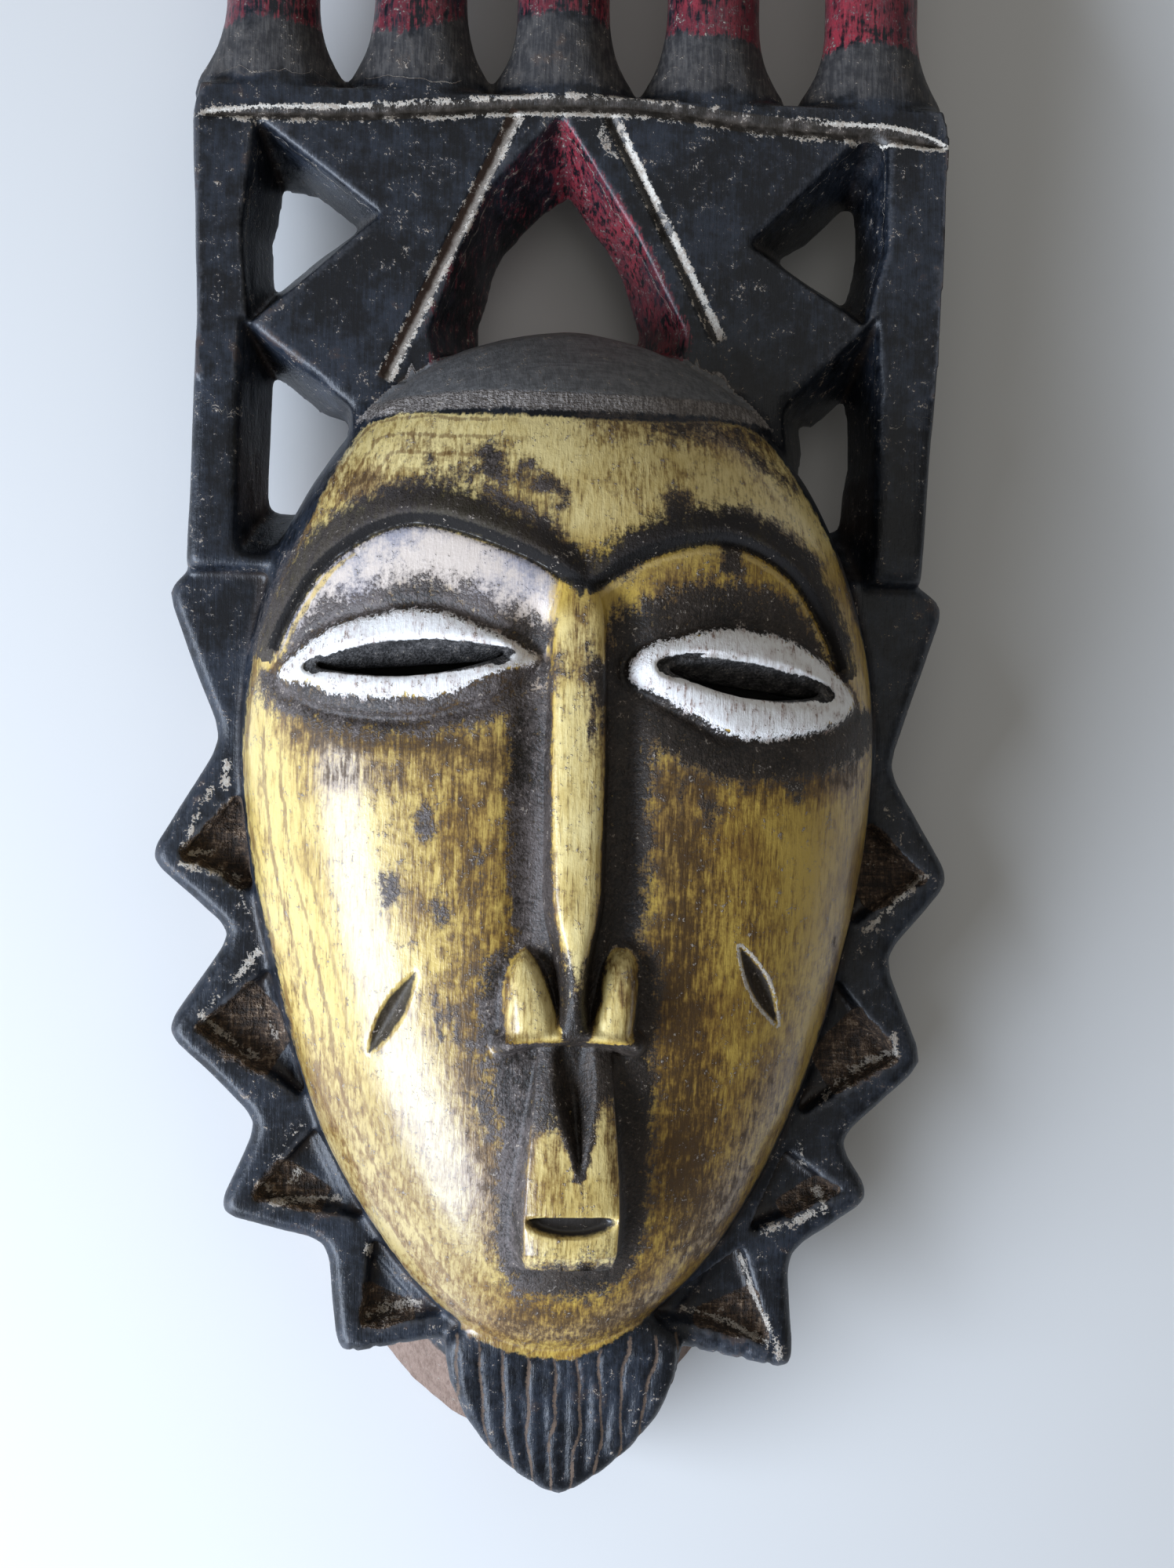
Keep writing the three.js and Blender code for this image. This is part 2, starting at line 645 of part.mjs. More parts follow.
// Everything that belongs to the front is joined first, so that the hollow
// and the eye slits are cut last and go through all of it.
function mask() {
  const joined = [backShell(), border(), crest(), beard(), hairBand(), noseBar(), mouth()];
  joined.push(...POSTS.map(post), ...BROWS.map(brow), ...EYES.map((eye) => lid(eye.lid)));
  joined.push(noseWing(-1), noseWing(1));
  const cuts = [furrow(), ...SCARS.map(scar), ...EYES.map((eye) => slit(eye.slit)), hollow()];
  const whole = joined.reduce((body, piece) => body.add(piece), dome(0, 0, faceHeight));
  return cuts.reduce((body, piece) => body.subtract(piece), whole);
}

// The finished solid as a mesh, centred on its own box in X and Y.
function toMesh(name, body) {
  const { vertProperties, triVerts, numProp } = body.getMesh();
  const geometry = new THREE.BufferGeometry();
  const spots = [];
  for (let i = 0; i < vertProperties.length; i += numProp) {
    spots.push(vertProperties[i], vertProperties[i + 1], vertProperties[i + 2]);
  }
  geometry.setAttribute('position', new THREE.Float32BufferAttribute(spots, 3));
  geometry.setIndex(Array.from(triVerts));
  geometry.computeBoundingBox();
  const centre = geometry.boundingBox.getCenter(new THREE.Vector3());
  geometry.translate(-centre.x, -centre.y, 0);
  geometry.computeVertexNormals();
  const mesh = new THREE.Mesh(geometry, new THREE.MeshStandardMaterial({ color: COLOURS[name] }));
  mesh.name = name;
  return mesh;
}

const group = new THREE.Group();
group.add(toMesh('mask', mask()));

export default group;
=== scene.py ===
# %% [markdown]
# # A carved and painted face mask
#
# The real mask is one block of pale wood, carved as a hollow face with a
# toothed border, a beard and an openwork crest with five posts. It was stained
# black and painted ochre, white and red, and many hands have rubbed it since.
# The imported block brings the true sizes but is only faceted, so this lesson
# covers a copy with an even skin, carves the fine forms into it and paints it.

import math
import time

import bmesh
import bpy
import numpy as np
from mathutils import Matrix, Vector


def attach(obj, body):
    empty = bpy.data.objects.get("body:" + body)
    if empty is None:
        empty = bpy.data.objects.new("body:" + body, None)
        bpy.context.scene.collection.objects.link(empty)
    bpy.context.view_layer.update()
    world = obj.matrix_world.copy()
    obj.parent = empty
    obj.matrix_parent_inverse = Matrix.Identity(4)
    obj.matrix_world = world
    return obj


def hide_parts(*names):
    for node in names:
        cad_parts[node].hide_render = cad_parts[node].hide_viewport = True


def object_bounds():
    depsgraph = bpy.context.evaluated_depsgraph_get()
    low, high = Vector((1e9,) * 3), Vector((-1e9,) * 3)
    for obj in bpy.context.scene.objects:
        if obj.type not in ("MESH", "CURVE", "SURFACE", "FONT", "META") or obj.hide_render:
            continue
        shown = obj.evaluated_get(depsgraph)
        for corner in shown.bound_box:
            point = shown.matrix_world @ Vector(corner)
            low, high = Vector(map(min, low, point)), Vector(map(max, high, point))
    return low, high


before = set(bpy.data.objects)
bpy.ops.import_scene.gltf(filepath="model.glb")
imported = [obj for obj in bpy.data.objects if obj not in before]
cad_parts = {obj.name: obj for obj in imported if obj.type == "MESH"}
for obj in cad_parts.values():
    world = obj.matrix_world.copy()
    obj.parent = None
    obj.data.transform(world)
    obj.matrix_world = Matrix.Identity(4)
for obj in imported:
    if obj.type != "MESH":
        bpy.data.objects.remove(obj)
block_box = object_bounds()
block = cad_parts["mask"]
started = time.time()
print("block:", len(block.data.polygons), "faces")

# %% [markdown]
# ## The skin
#
# The block comes from joining and cutting many shapes, so its triangles are
# long and uneven. A voxel remesh lays small even faces over the same form. The
# copy is merged first, because the block itself is loose triangles.

# %% Cover a copy with an even skin
MM = 0.001
SKIN = 0.75
MIDDLE = np.array([0.043, -31.5, 0.0])


def keep_result(piece):
    """Make what the modifiers show the piece's own mesh."""
    graph = bpy.context.evaluated_depsgraph_get()
    mesh = bpy.data.meshes.new_from_object(piece.evaluated_get(graph))
    piece.modifiers.clear()
    piece.data = mesh


def even_skin(source, size):
    """A merged copy of a mesh under small even faces."""
    piece = bpy.data.objects.new("painted_mask", source.data.copy())
    bpy.context.scene.collection.objects.link(piece)
    work = bmesh.new()
    work.from_mesh(piece.data)
    bmesh.ops.remove_doubles(work, verts=work.verts, dist=0.001 * MM)
    work.to_mesh(piece.data)
    work.free()
    skin = piece.modifiers.new("skin", "REMESH")
    skin.mode = "VOXEL"
    skin.voxel_size = size * MM
    keep_result(piece)
    return piece


mask = even_skin(block, SKIN)
print("skin:", len(mask.data.vertices), "corners")

# %% [markdown]
# All carving below moves the corners of that skin. They are read into plain
# arrays, in millimetres from the middle of the face, which is how the block
# was drawn: X to the right, Y toward the posts and Z out of the face.

# %% Read and write the corners


def read_corners(piece, what):
    """A vector at each corner: its place or the way the surface faces."""
    flat = np.empty(len(piece.data.vertices) * 3, np.float32)
    piece.data.vertices.foreach_get(what, flat)
    return flat.reshape(-1, 3).astype(float)


def read_points(piece):
    """The corners in millimetres from the middle of the face."""
    return read_corners(piece, "co") / MM - MIDDLE


def write_points(piece, points):
    """Put the corners back, in metres, and read how the surface then faces."""
    flat = ((points + MIDDLE) * MM).astype(np.float32).ravel()
    piece.data.vertices.foreach_set("co", flat)
    piece.data.update()
    return read_corners(piece, "normal")


def step(value, low, high):
    """0 below low, 1 above high and a smooth rise between."""
    share = np.clip((value - low) / (high - low), 0, 1)
    return share * share * (3 - 2 * share)


points = read_points(mask)
print("reaches", points.min(0).round(1), points.max(0).round(1))

# %% [markdown]
# ## Rounding the facets
#
# Handling rounds a carved edge and a facet alike. Each corner is drawn toward
# the middle of its neighbours: a few rounds everywhere wear the edges by about
# a millimetre, and many more on the shell, the hollow and the posts take the
# facets off them.

# %% Draw corners toward their neighbours


def neighbours(piece):
    """Both ends of every edge, and how many edges meet at each corner."""
    flat = np.empty(len(piece.data.edges) * 2, np.int32)
    piece.data.edges.foreach_get("vertices", flat)
    ends = flat.reshape(-1, 2)
    return ends, np.bincount(flat, minlength=len(piece.data.vertices))


def relax(values, net, rounds, weight):
    """Draw values at the corners toward the mean of their neighbours."""
    ends, count = net
    here = ends.ravel()
    there = ends[:, ::-1].ravel()
    for _ in range(rounds):
        mean = np.stack(
            [np.bincount(here, weights=v[there], minlength=len(v)) / count for v in values.T],
            axis=1,
        )
        values = values + weight[:, None] * (mean - values)
    return values


FACE = {"x": 0.3, "y": 7, "half": 73, "up": 95.5, "down": 138.5, "up_bend": 2.1, "down_bend": 1.6}
WORN_ROUNDS, FACET_ROUNDS, LEVEL_ROUNDS = 5, 26, 14
DOME = {"edge": 34, "rise": 46, "round": 2.8, "full": 0.58}


def egg_reach(x, y):
    """How far out a point lies in the egg of the face: 1 on its outline."""
    rise = y - FACE["y"]
    up = np.maximum(rise / FACE["up"], 0) ** FACE["up_bend"]
    down = np.maximum(-rise / FACE["down"], 0) ** FACE["down_bend"]
    return np.sqrt(((x - FACE["x"]) / FACE["half"]) ** 2 + up + down)


net = neighbours(mask)
everywhere = np.full(len(points), 0.5)
points = relax(points, net, WORN_ROUNDS, everywhere)
x, y, z = points.T
shell = step(-z, -24, -19) * step(-y, -78, -70) * step(egg_reach(x, y), 0.5, 0.6)
hollow = step(-read_corners(mask, "normal")[:, 2], 0.05, 0.3) * step(-y, -88, -80)
side = step(egg_reach(x, y), 0.955, 0.985) * step(z, 35, 38) * step(-y, -100, -90)
posts = step(y, 160, 170)
smooth = 0.5 * np.clip(shell + hollow + side + posts, 0, 1)
points = relax(points, net, FACET_ROUNDS, smooth)
print("rounded in", round(time.time() - started, 1), "s")

# %% [markdown]
# ## The forms of the face
#
# Seen from the front, every form of the face can be given as a height over x
# and y: the dome, the hollows round the eyes, the brows, the lids, the nose,
# the mouth block and the cuts. The front skin is then put at exactly that
# height, which takes the facets off it and makes the edges crisp.

# %% The dome with its soft hollows
EYES = [((-64.5, 21), (-7.5, 27)), ((12.3, 22.5), (62.6, 16.5))]
SOCKET = {"half": 33, "high": 25, "up": 6, "deep": 3.2, "ease": 1.5}
CHANNEL = {"x": 0.6, "out": 9.5, "spread": 5, "deep": 3}


def dome_height(x, y):
    """Height of the bare dome."""
    reach = np.minimum(1, egg_reach(x, y))
    return DOME["edge"] + DOME["rise"] * (1 - reach ** DOME["round"]) ** DOME["full"]


def hollowed(x, y):
    """The dome with the hollows round the eyes and beside the nose."""
    height = dome_height(x, y)
    for a, b in EYES:
        cx, cy = (a[0] + b[0]) / 2, (a[1] + b[1]) / 2 + SOCKET["up"]
        away = ((x - cx) / SOCKET["half"]) ** 2 + ((y - cy) / SOCKET["high"]) ** 2
        height = height - SOCKET["deep"] * np.maximum(0, 1 - away) ** SOCKET["ease"]
    off = (np.abs(x - CHANNEL["x"]) - CHANNEL["out"]) / CHANNEL["spread"]
    along = step(y, -62, -52) * (1 - step(y, 34, 44))
    height = height - CHANNEL["deep"] * np.exp(-off * off) * along
    return np.maximum(height, DOME["edge"])


print("top of the dome:", dome_height(np.array([0.3]), np.array([7.0])))

# %% [markdown]
# Brows, lids and cuts follow lines that are drawn through a few points. A
# helper rounds such a line, and another gives the distance from it, how far
# along it the nearest spot is, and on which side a point lies.

# %% Lines through a few points


def rounded(spots, closed=False, steps=8):
    """A smooth line through the spots."""
    spots = np.array(spots, float)
    count = len(spots)
    line = []
    for i in range(count if closed else count - 1):
        pick = np.arange(i - 1, i + 3)
        a, b, c, d = spots[pick % count if closed else np.clip(pick, 0, count - 1)]
        for t in np.arange(steps) / steps:
            curve = (2 * a - 5 * b + 4 * c - d) * t * t + (3 * b - a - 3 * c + d) * t ** 3
            line.append(0.5 * (2 * b + (c - a) * t + curve))
    line.append(line[0] if closed else spots[-1])
    return np.array(line)


def from_line(x, y, line):
    """Distance from a line, share along it, and which side it is on."""
    best = np.full(x.shape, 1e9)
    share = np.zeros(x.shape)
    hand = np.ones(x.shape)
    lengths = np.hypot(*np.diff(line, axis=0).T)
    before = np.concatenate([[0], np.cumsum(lengths)])
    for k, (a, b) in enumerate(zip(line[:-1], line[1:])):
        way = (b - a) / max(lengths[k], 1e-9)
        run = np.clip((x - a[0]) * way[0] + (y - a[1]) * way[1], 0, lengths[k])
        dx, dy = x - a[0] - way[0] * run, y - a[1] - way[1] * run
        far = np.hypot(dx, dy)
        near = far < best
        best = np.where(near, far, best)
        share = np.where(near, (before[k] + run) / before[-1], share)
        hand = np.where(near, np.sign(way[0] * dy - way[1] * dx), hand)
    return best, share, hand


def inside_depth(x, y, outline, margin=14):
    """Distance inside a closed outline, and below 0 outside it."""
    low, high = outline.min(0) - margin, outline.max(0) + margin
    near = np.flatnonzero((x > low[0]) & (x < high[0]) & (y > low[1]) & (y < high[1]))
    depth = np.full(x.shape, -float(margin))
    x, y = x[near], y[near]
    far = from_line(x, y, outline)[0]
    odd = np.zeros(x.shape, bool)
    for a, b in zip(outline[:-1], outline[1:]):
        crosses = (a[1] > y) != (b[1] > y)
        rise = b[1] - a[1] if abs(b[1] - a[1]) > 1e-9 else 1e-9
        odd ^= crosses & (x < a[0] + (y - a[1]) / rise * (b[0] - a[0]))
    depth[near] = np.maximum(np.where(odd, far, -far), -margin)
    return depth


def inside_any(x, y, outlines):
    """Distance inside the nearest of several outlines."""
    return np.maximum.reduce([inside_depth(x, y, outline) for outline in outlines])


def closed_by(*spots):
    """A closed outline with straight sides."""
    return np.array([*spots, spots[0]], float)


def from_cut(x, y, cut):
    """Signed distance from a straight cut, and the share along it."""
    (x0, y0), (x1, y1) = cut
    long = math.dist(*cut)
    ux, uy = (x1 - x0) / long, (y1 - y0) / long
    return (x - x0) * -uy + (y - y0) * ux, ((x - x0) * ux + (y - y0) * uy) / long


# %% [markdown]
# A brow is a ridge over the eye. Its lower side is a steep cut that ends in a
# fine groove on the edge of the hollow, and its upper side runs out slowly
# into the forehead.

# %% Brows
BROWS = [
    rounded([(2, 40.5), (-12.7, 48.9), (-34.4, 55.3), (-50.8, 48.7), (-60, 37.5), (-65.5, 25)]),
    rounded([(2.4, 40.5), (15.8, 49.1), (32.7, 52.6), (46.6, 47), (54.8, 37), (61.5, 23)]),
]
BROW_WIDE = 9.5
BROW_RISE = 3.1
BROW_SHARE = [-0.14, -0.05, 0.02, 0.13, 0.22, 0.32, 0.42, 0.6, 0.8, 1.1]
BROW_LIFT = [0, -0.2, -0.15, 0.56, 0.83, 0.97, 0.92, 0.66, 0.28, 0]


def brow_place(x, y, line, hand):
    """Distance above a brow's lower edge and the share along it."""
    far, share, side = from_line(x, y, line)
    return far * side * hand, share


def brow_lift(x, y):
    """What the brows add to the height of the face."""
    lift = np.zeros(x.shape)
    for line, hand in zip(BROWS, (-1, 1)):
        above, share = brow_place(x, y, line, hand)
        swell = np.sqrt(np.sin(np.pi * (0.1 + 0.8 * share)))
        ends = step(share, 0, 0.03) * step(-share, -1, -0.96)
        part = np.interp(above / (BROW_WIDE * swell), BROW_SHARE, BROW_LIFT)
        part = part * BROW_RISE * swell * np.clip(0.25 + ends, 0, 1)
        lift = np.where(np.abs(part) > np.abs(lift), part, lift)
    return lift


print("brows:", [round(float(np.hypot(*np.diff(b, axis=0).T).sum()), 1) for b in BROWS], "mm long")

# %% [markdown]
# A lid is a pillow with a crisp rim, and the slit is cut through its middle.
# The slit itself is already open in the block, so only the rim of the cut is
# eased here.

# %% Eyelids
LIDS = [
    rounded([(-63.8, 22.8), (-59.5, 28.1), (-51.9, 33.3), (-44.3, 35.3), (-35.2, 37.1), (-27, 36.2),
             (-18.7, 32.8), (-11.2, 29), (-7.4, 26), (-12.5, 21), (-21.8, 16.6), (-35.2, 13.8),
             (-48.6, 14.6), (-58.7, 17.8)], closed=True),
    rounded([(11.2, 23), (13.3, 28.3), (21.4, 31.9), (30.2, 34.2), (41.8, 33.8), (51.5, 31),
             (59, 25.7), (64.4, 19), (62.5, 15.2), (55.1, 12.2), (44.4, 10.8), (33.7, 10.4),
             (25.6, 14.4), (16.9, 18.8)], closed=True),
]
SLITS = [
    rounded([(-57.2, 24.4), (-45.6, 28.9), (-34.9, 30), (-22.1, 29.6), (-12.4, 27.8),
             (-22, 23.8), (-34.7, 22.4), (-46, 22.2)], closed=True),
    rounded([(18, 25.4), (27, 27.6), (37.8, 26.6), (48, 24.5), (57.6, 20.4),
             (47.5, 18.2), (37.6, 19), (27.3, 21.2)], closed=True),
]
LID_RISE = 3.6
LID_SOFT = 8.5


def lid_lift(x, y):
    """What the lids add, and the groove that runs round them."""
    lift = np.zeros(x.shape)
    for outline, cut in zip(LIDS, SLITS):
        deep = inside_depth(x, y, outline)
        full = 1 - np.clip(deep / LID_SOFT, 0, 1)
        pillow = np.where(deep > 0, LID_RISE * np.sqrt(1 - full * full), 0)
        groove = -0.8 * np.exp(-((np.minimum(deep, 0) + 0.9) / 1.1) ** 2) * (deep < 0)
        lift = lift + pillow + groove - 0.5 * step(inside_depth(x, y, cut), -1.3, 0)
    return lift


print("lids:", [np.ptp(outline, axis=0).round(1).tolist() for outline in LIDS], "mm")

# %% [markdown]
# The nose is a straight bar from the meeting of the brows to a flat foot. Its
# two wings are pointed drops beside it, cut off by the same foot. Both are
# given as heights with steep sides, and the higher one wins.

# %% Nose
NOSE_X = 0.5
NOSE_Y_TOP = 40
NOSE_ROWS = [-52.8, -51, -46, -40, -34, -29, -24, 4, 36, 43]
NOSE_TOP = [83.5, 84.6, 86, 86.6, 86.6, 86.4, 86, 84.5, 82.5, 80.5]
NOSE_HALF = np.array([3.4, 2.5, 1.7, 2, 3, 4.2, 4.9, 5.6, 5.2, 4])
WING_ROWS = [-54.2, -50.9, -46.3, -42, -38.8, -36.9, -35]
WING_TOP = [82.6, 83, 82.8, 82, 80.6, 79, 75.5]
WINGS = [
    ([-13.1, -13.3, -13.5, -13.4, -12.4, -11.2, -9.9], [-2.4, -2.8, -3.9, -5.3, -6.7, -8, -9.2]),
    ([4.2, 5.1, 6.5, 7.1, 7.6, 8.2, 9.6], [12.8, 13.3, 13.9, 14, 14, 13.8, 12.6]),
]
FOOT_RIDGE = rounded([(-13.2, -55.2), (-8.5, -53.8), (-4.3, -53.3), (2.4, -53), (8.4, -53.8), (14.2, -55.3)])


def bar(x, y, rows, top, left, right, crown, steep):
    """Height of a bar that runs down the face, with a crowned front."""
    left, right = np.interp(y, rows, left), np.interp(y, rows, right)
    wide = (right - left) / 2
    out = np.abs(x - (left + right) / 2) / wide
    height = np.interp(y, rows, top) - crown * np.minimum(out, 1) ** 3
    height -= np.maximum(out - 1, 0) * wide * steep
    past = np.maximum(rows[0] - y, 0) + np.maximum(y - rows[-1], 0) * 0.4
    return height - past * steep


def nose_height(x, y):
    """The bar of the nose, its wings and the thin ridge under them."""
    height = bar(x, y, NOSE_ROWS, NOSE_TOP, NOSE_X - NOSE_HALF, NOSE_X + NOSE_HALF, 1.4, 4.5)
    for left, right in WINGS:
        height = np.maximum(height, bar(x, y, WING_ROWS, WING_TOP, left, right, 2.8, 4))
    return np.maximum(height, 83.4 - 1.1 * from_line(x, y, FOOT_RIDGE)[0] ** 2)


print("nose:", round(NOSE_ROWS[-1] - NOSE_ROWS[0], 1), "mm long")

# %% [markdown]
# The mouth is a block of its own. A pointed furrow runs down its upper half,
# and the slit is flat above and curved below.

# %% Mouth block
MOUTH_X = 1.4
MOUTH_ROWS = [-104.6, -101, -93, -84, -66, -55]
MOUTH_TOP = [72.5, 76, 78, 79, 78.5, 77]
MOUTH_HALF = np.array([9.2, 9.9, 10.2, 9.8, 8.4, 7.6])
MOUTH_SIDES = MOUTH_X - MOUTH_HALF, MOUTH_X + MOUTH_HALF
SLIT_Y = -93


def furrow_place(x, y):
    """How far down the furrow a point is, and how far from its middle line."""
    share = np.clip((-56.6 - y) / 29, 0, 1)
    left, right = -4.8 + 7.8 * share ** 1.6, 6.8 - 3.6 * share ** 2.2
    off = np.abs(x - (left + right) / 2) / np.maximum((right - left) / 2, 0.05)
    return share, off


def lip_depth(x, y):
    """1 in the middle of the mouth slit, 0 on its edge and below 0 outside."""
    high = np.where(y > SLIT_Y, 0.7, 3.9)
    return 1 - ((x - MOUTH_X) / 10) ** 2 - ((y - SLIT_Y) / high) ** 2


def mouth_height(x, y):
    """The mouth block with its furrow and its slit."""
    height = bar(x, y, MOUTH_ROWS, MOUTH_TOP, *MOUTH_SIDES, 1.7, 6)
    share, off = furrow_place(x, y)
    furrow = 72.6 + 6.0 * share ** 2.4 + 6.0 * off
    height = np.where((y > -87) & (off < 1.6), np.minimum(height, furrow), height)
    return height - 3.6 * np.clip(lip_depth(x, y) * 2.2, 0, 1) ** 0.6


print("mouth block:", round(MOUTH_ROWS[-1] - MOUTH_ROWS[0], 1), "mm long")

# %% [markdown]
# Two scars are cut into the cheeks as lenses, and the hair is a band that
# stands a little proud of the forehead with a chamfered lower edge.

# %% Scars and hair
SCARS = [((-32.2, -40), (-42.8, -60), 2.5), ((36.8, -34), (47.6, -52.8), 2.3)]
HAIRLINE = rounded([(-60, 81), (-43, 82), (-20, 82.6), (0, 82), (20, 82.2), (40, 83), (60, 82)])


def scar_depth(x, y):
    """How deep inside a scar's lens a point lies, below 0 outside it."""
    best = np.full(x.shape, -20.0)
    for a, b, half in SCARS:
        off, along = from_cut(x, y, (a, b))
        room = half * np.sin(np.pi * np.clip(along, 0, 1)) - np.abs(off)
        past = np.maximum(np.maximum(-along, along - 1), 0) * math.dist(a, b)
        best = np.maximum(best, room - past)
    return best


def hair_place(x, y):
    """Distance above the hairline."""
    return y - np.interp(x, HAIRLINE[:, 0], HAIRLINE[:, 1])


def face_height(x, y):
    """The whole front of the face as one field of heights."""
    height = hollowed(x, y) + brow_lift(x, y) + lid_lift(x, y)
    height = height + 1.9 * np.clip((hair_place(x, y) + 1) / 4.4, 0, 1)
    height = np.maximum(height, nose_height(x, y))
    height = np.maximum(height, mouth_height(x, y))
    return height - 2.8 * np.clip(scar_depth(x, y) / 2.3, 0, 1) ** 0.7


print("height between the eyes:", face_height(np.array([0.5]), np.array([25.0])).round(1))

# %% [markdown]
# The slits were cut through a thick lid with a slanting knife: the upper wall
# leans down, so from the front it shows as a rough grey face and the way
# through is only a narrow gap below it.

# %% Lean the upper walls of the slits
SLANT = 5.2
SLIT_AXES = [((-57.2, 24.6), (-12.4, 27.8), 0.6), ((18, 25.2), (57.6, 20.4), 0.4)]


def lean_slits(points):
    """Move the upper wall of each slit down, the more the deeper it lies."""
    x, y, z = points.T
    deep = face_height(x, y) - z
    shift = np.zeros(x.shape)
    for a, b, bow in SLIT_AXES:
        share = np.clip((x - a[0]) / (b[0] - a[0]), 0, 1)
        half = 3.9 * np.sin(np.pi * share) ** 0.7
        above = y - (a[1] + (b[1] - a[1]) * share + bow)
        reach = 1 - np.clip((above - half) / 9, 0, 1)
        part = SLANT * half / 3.9 * step(deep, 0.3, 8.5) * reach * step(above, -0.5, 0.5)
        shift = np.maximum(shift, part * (deep < 16) * (above < half + 9))
    moved = points.copy()
    moved[:, 1] -= shift
    return moved, int((shift > 1).sum())


points, leaning = lean_slits(points)
print("leaning walls:", leaning, "corners")

# %% [markdown]
# The skin is put at that height wherever it is the front of the face. The
# walls of the slits and the hollow behind are left alone, and the change fades
# out where the dome turns down to the border, because a field of heights can't
# follow an upright wall.

# %% Carve the front of the face
x, y, z = points.T
reach = egg_reach(x, y)
target = face_height(x, y)
normal = write_points(mask, points)
wall = step(inside_any(x, y, SLITS), -1.2, -0.5) * step(target - z, 0.7, 1.6)
front = (normal[:, 2] > -0.05) & (z > dome_height(x, y) - 6.5) & (z > 36)
weight = np.where(front, 1 - step(reach, 0.94, 0.975), 0) * (1 - wall)
points[:, 2] = z + weight * (target - z)
points = relax(points, net, 2, np.full(len(points), 0.35))
print("front skin:", int((weight > 0.5).sum()), "corners")

# %% [markdown]
# ## The cuts of the crest and the beard
#
# Three V cuts cross the crest: one along its top and two that frame the middle
# hole. The front of the board is flat, so they are given the same way, as a
# height over x and y.

# %% Cuts across the crest
BOARD = 40
TOP_CUT = rounded([
    (-84, 149), (-81.3, 149.3), (-71, 149.9), (-52, 150.6), (-32, 152.2), (-14, 153.9), (6, 154.7),
    (23, 154), (41, 152.1), (60, 151), (72, 150.6), (81, 149.5), (86.4, 148.4),
])
TOP_WIDE = ([-84, -81.6, -71, -52, -32, -14, 6, 23, 41, 60, 72, 81, 85.6, 87],
            [0.1, 0.7, 1.5, 1.7, 1.9, 2.0, 2.2, 2.0, 2.3, 1.9, 2.1, 1.7, 0.8, 0.1])
LEFT_CUT = ((-12.3, 152.9), (-41.4, 91.2))
RIGHT_CUT = ((8.6, 152.6), (34.6, 102))
SIDE_WIDE = 1.7
HOLES = [
    closed_by((-70.9, 147.6), (-43.2, 128.2), (-71.8, 102.9), (-73.4, 125)),
    closed_by((-73.4, 103.2), (-50, 85), (-50, 66), (-66, 51.5), (-73.6, 51.5)),
    closed_by((68.6, 150.6), (73, 148), (73.2, 125), (68.6, 107.4), (42.2, 124.8)),
    closed_by((71.4, 107.2), (72, 75), (71, 45), (64, 45), (52, 66), (50.4, 87.6)),
    closed_by((-2, 151.2), (-18.2, 135.4), (-25.6, 120.3), (-32, 103), (-28, 84), (24, 84), (28, 103),
              (15, 127.4)),
]


def from_top_cut(x, y):
    """Height above the middle of the top cut, and half its width there."""
    return y - np.interp(x, *TOP_CUT.T), np.interp(x, *TOP_WIDE)


def board_height(x, y):
    """The front of the crest with its cuts."""
    above, wide = from_top_cut(x, y)
    sunk = 1.3 * np.clip(1 - np.abs(above) / wide, 0, 1)
    for cut in (LEFT_CUT, RIGHT_CUT):
        off, share = from_cut(x, y, cut)
        part = 1.5 * np.clip(1.1 - np.abs(off) / SIDE_WIDE, 0, 1)
        sunk = np.maximum(sunk, part * step(share, -0.01, 0.02) * step(-share, -1.01, -0.97))
    return BOARD - sunk


x, y, z = points.T
normal = write_points(mask, points)
on_top = (y > 90) & (y < 157.5) & (z > 36.6) & (normal[:, 2] > 0.45) & (egg_reach(x, y) > 1.0)
spot_at = np.flatnonzero(on_top)
free = step(-inside_any(x[spot_at], y[spot_at], HOLES), 1.0, 2.0) * step(-y[spot_at], -157.5, -156)
points[spot_at, 2] += free * (board_height(x[spot_at], y[spot_at]) - z[spot_at])
print("front of the crest:", len(spot_at), "corners")

# %% [markdown]
# The beard is combed with a gouge into furrows that draw together toward its
# point. Their number and place are one coordinate that grows by 1 from each
# furrow to the next.

# %% Comb the beard
COMB_STEP = 5.7
COMB_HALF = 1.1
BEARD_FROM = -126


def comb_place(x, y):
    """Which furrow a point is at: a whole number on the line of a furrow."""
    down = np.clip((-130 - y) / 34, 0, 1)
    middle = 3.6 + 0.8 * down
    spread = 1 - 0.2 * down ** 1.5
    sway = 0.6 * np.sin(y / 4.3 + x / 7) + 0.35 * np.sin(y / 1.9 + x / 5) + 0.8 * np.sin(x / 4 + y / 9)
    return (x - middle) / (COMB_STEP * spread) + 0.13 * sway + 0.5


x, y, z = points.T
on_beard = (y < BEARD_FROM) & (z > 20) & (normal[:, 2] > 0.0) & (egg_reach(x, y) > 1.005)
comb = comb_place(x, y)
off = np.abs(comb - np.round(comb)) * COMB_STEP
furrow = np.clip(1 - off / COMB_HALF, 0, 1) * step(-y, 128, 131) * on_beard
depth = 0.2 + 0.4 * step(y, -148, -134)
points = points - normal * (depth * furrow)[:, None]
print("combed:", int((furrow > 0.2).sum()), "corners")

# %% [markdown]
# ## Marks of the tool and of wear
#
# No carved surface is even. A smooth random field moves the skin in and out:
# long soft waves where the knife wandered, small dents over them, and a rough
# floor in the pockets of the teeth, which were chopped and never smoothed.

# %% A smooth random field


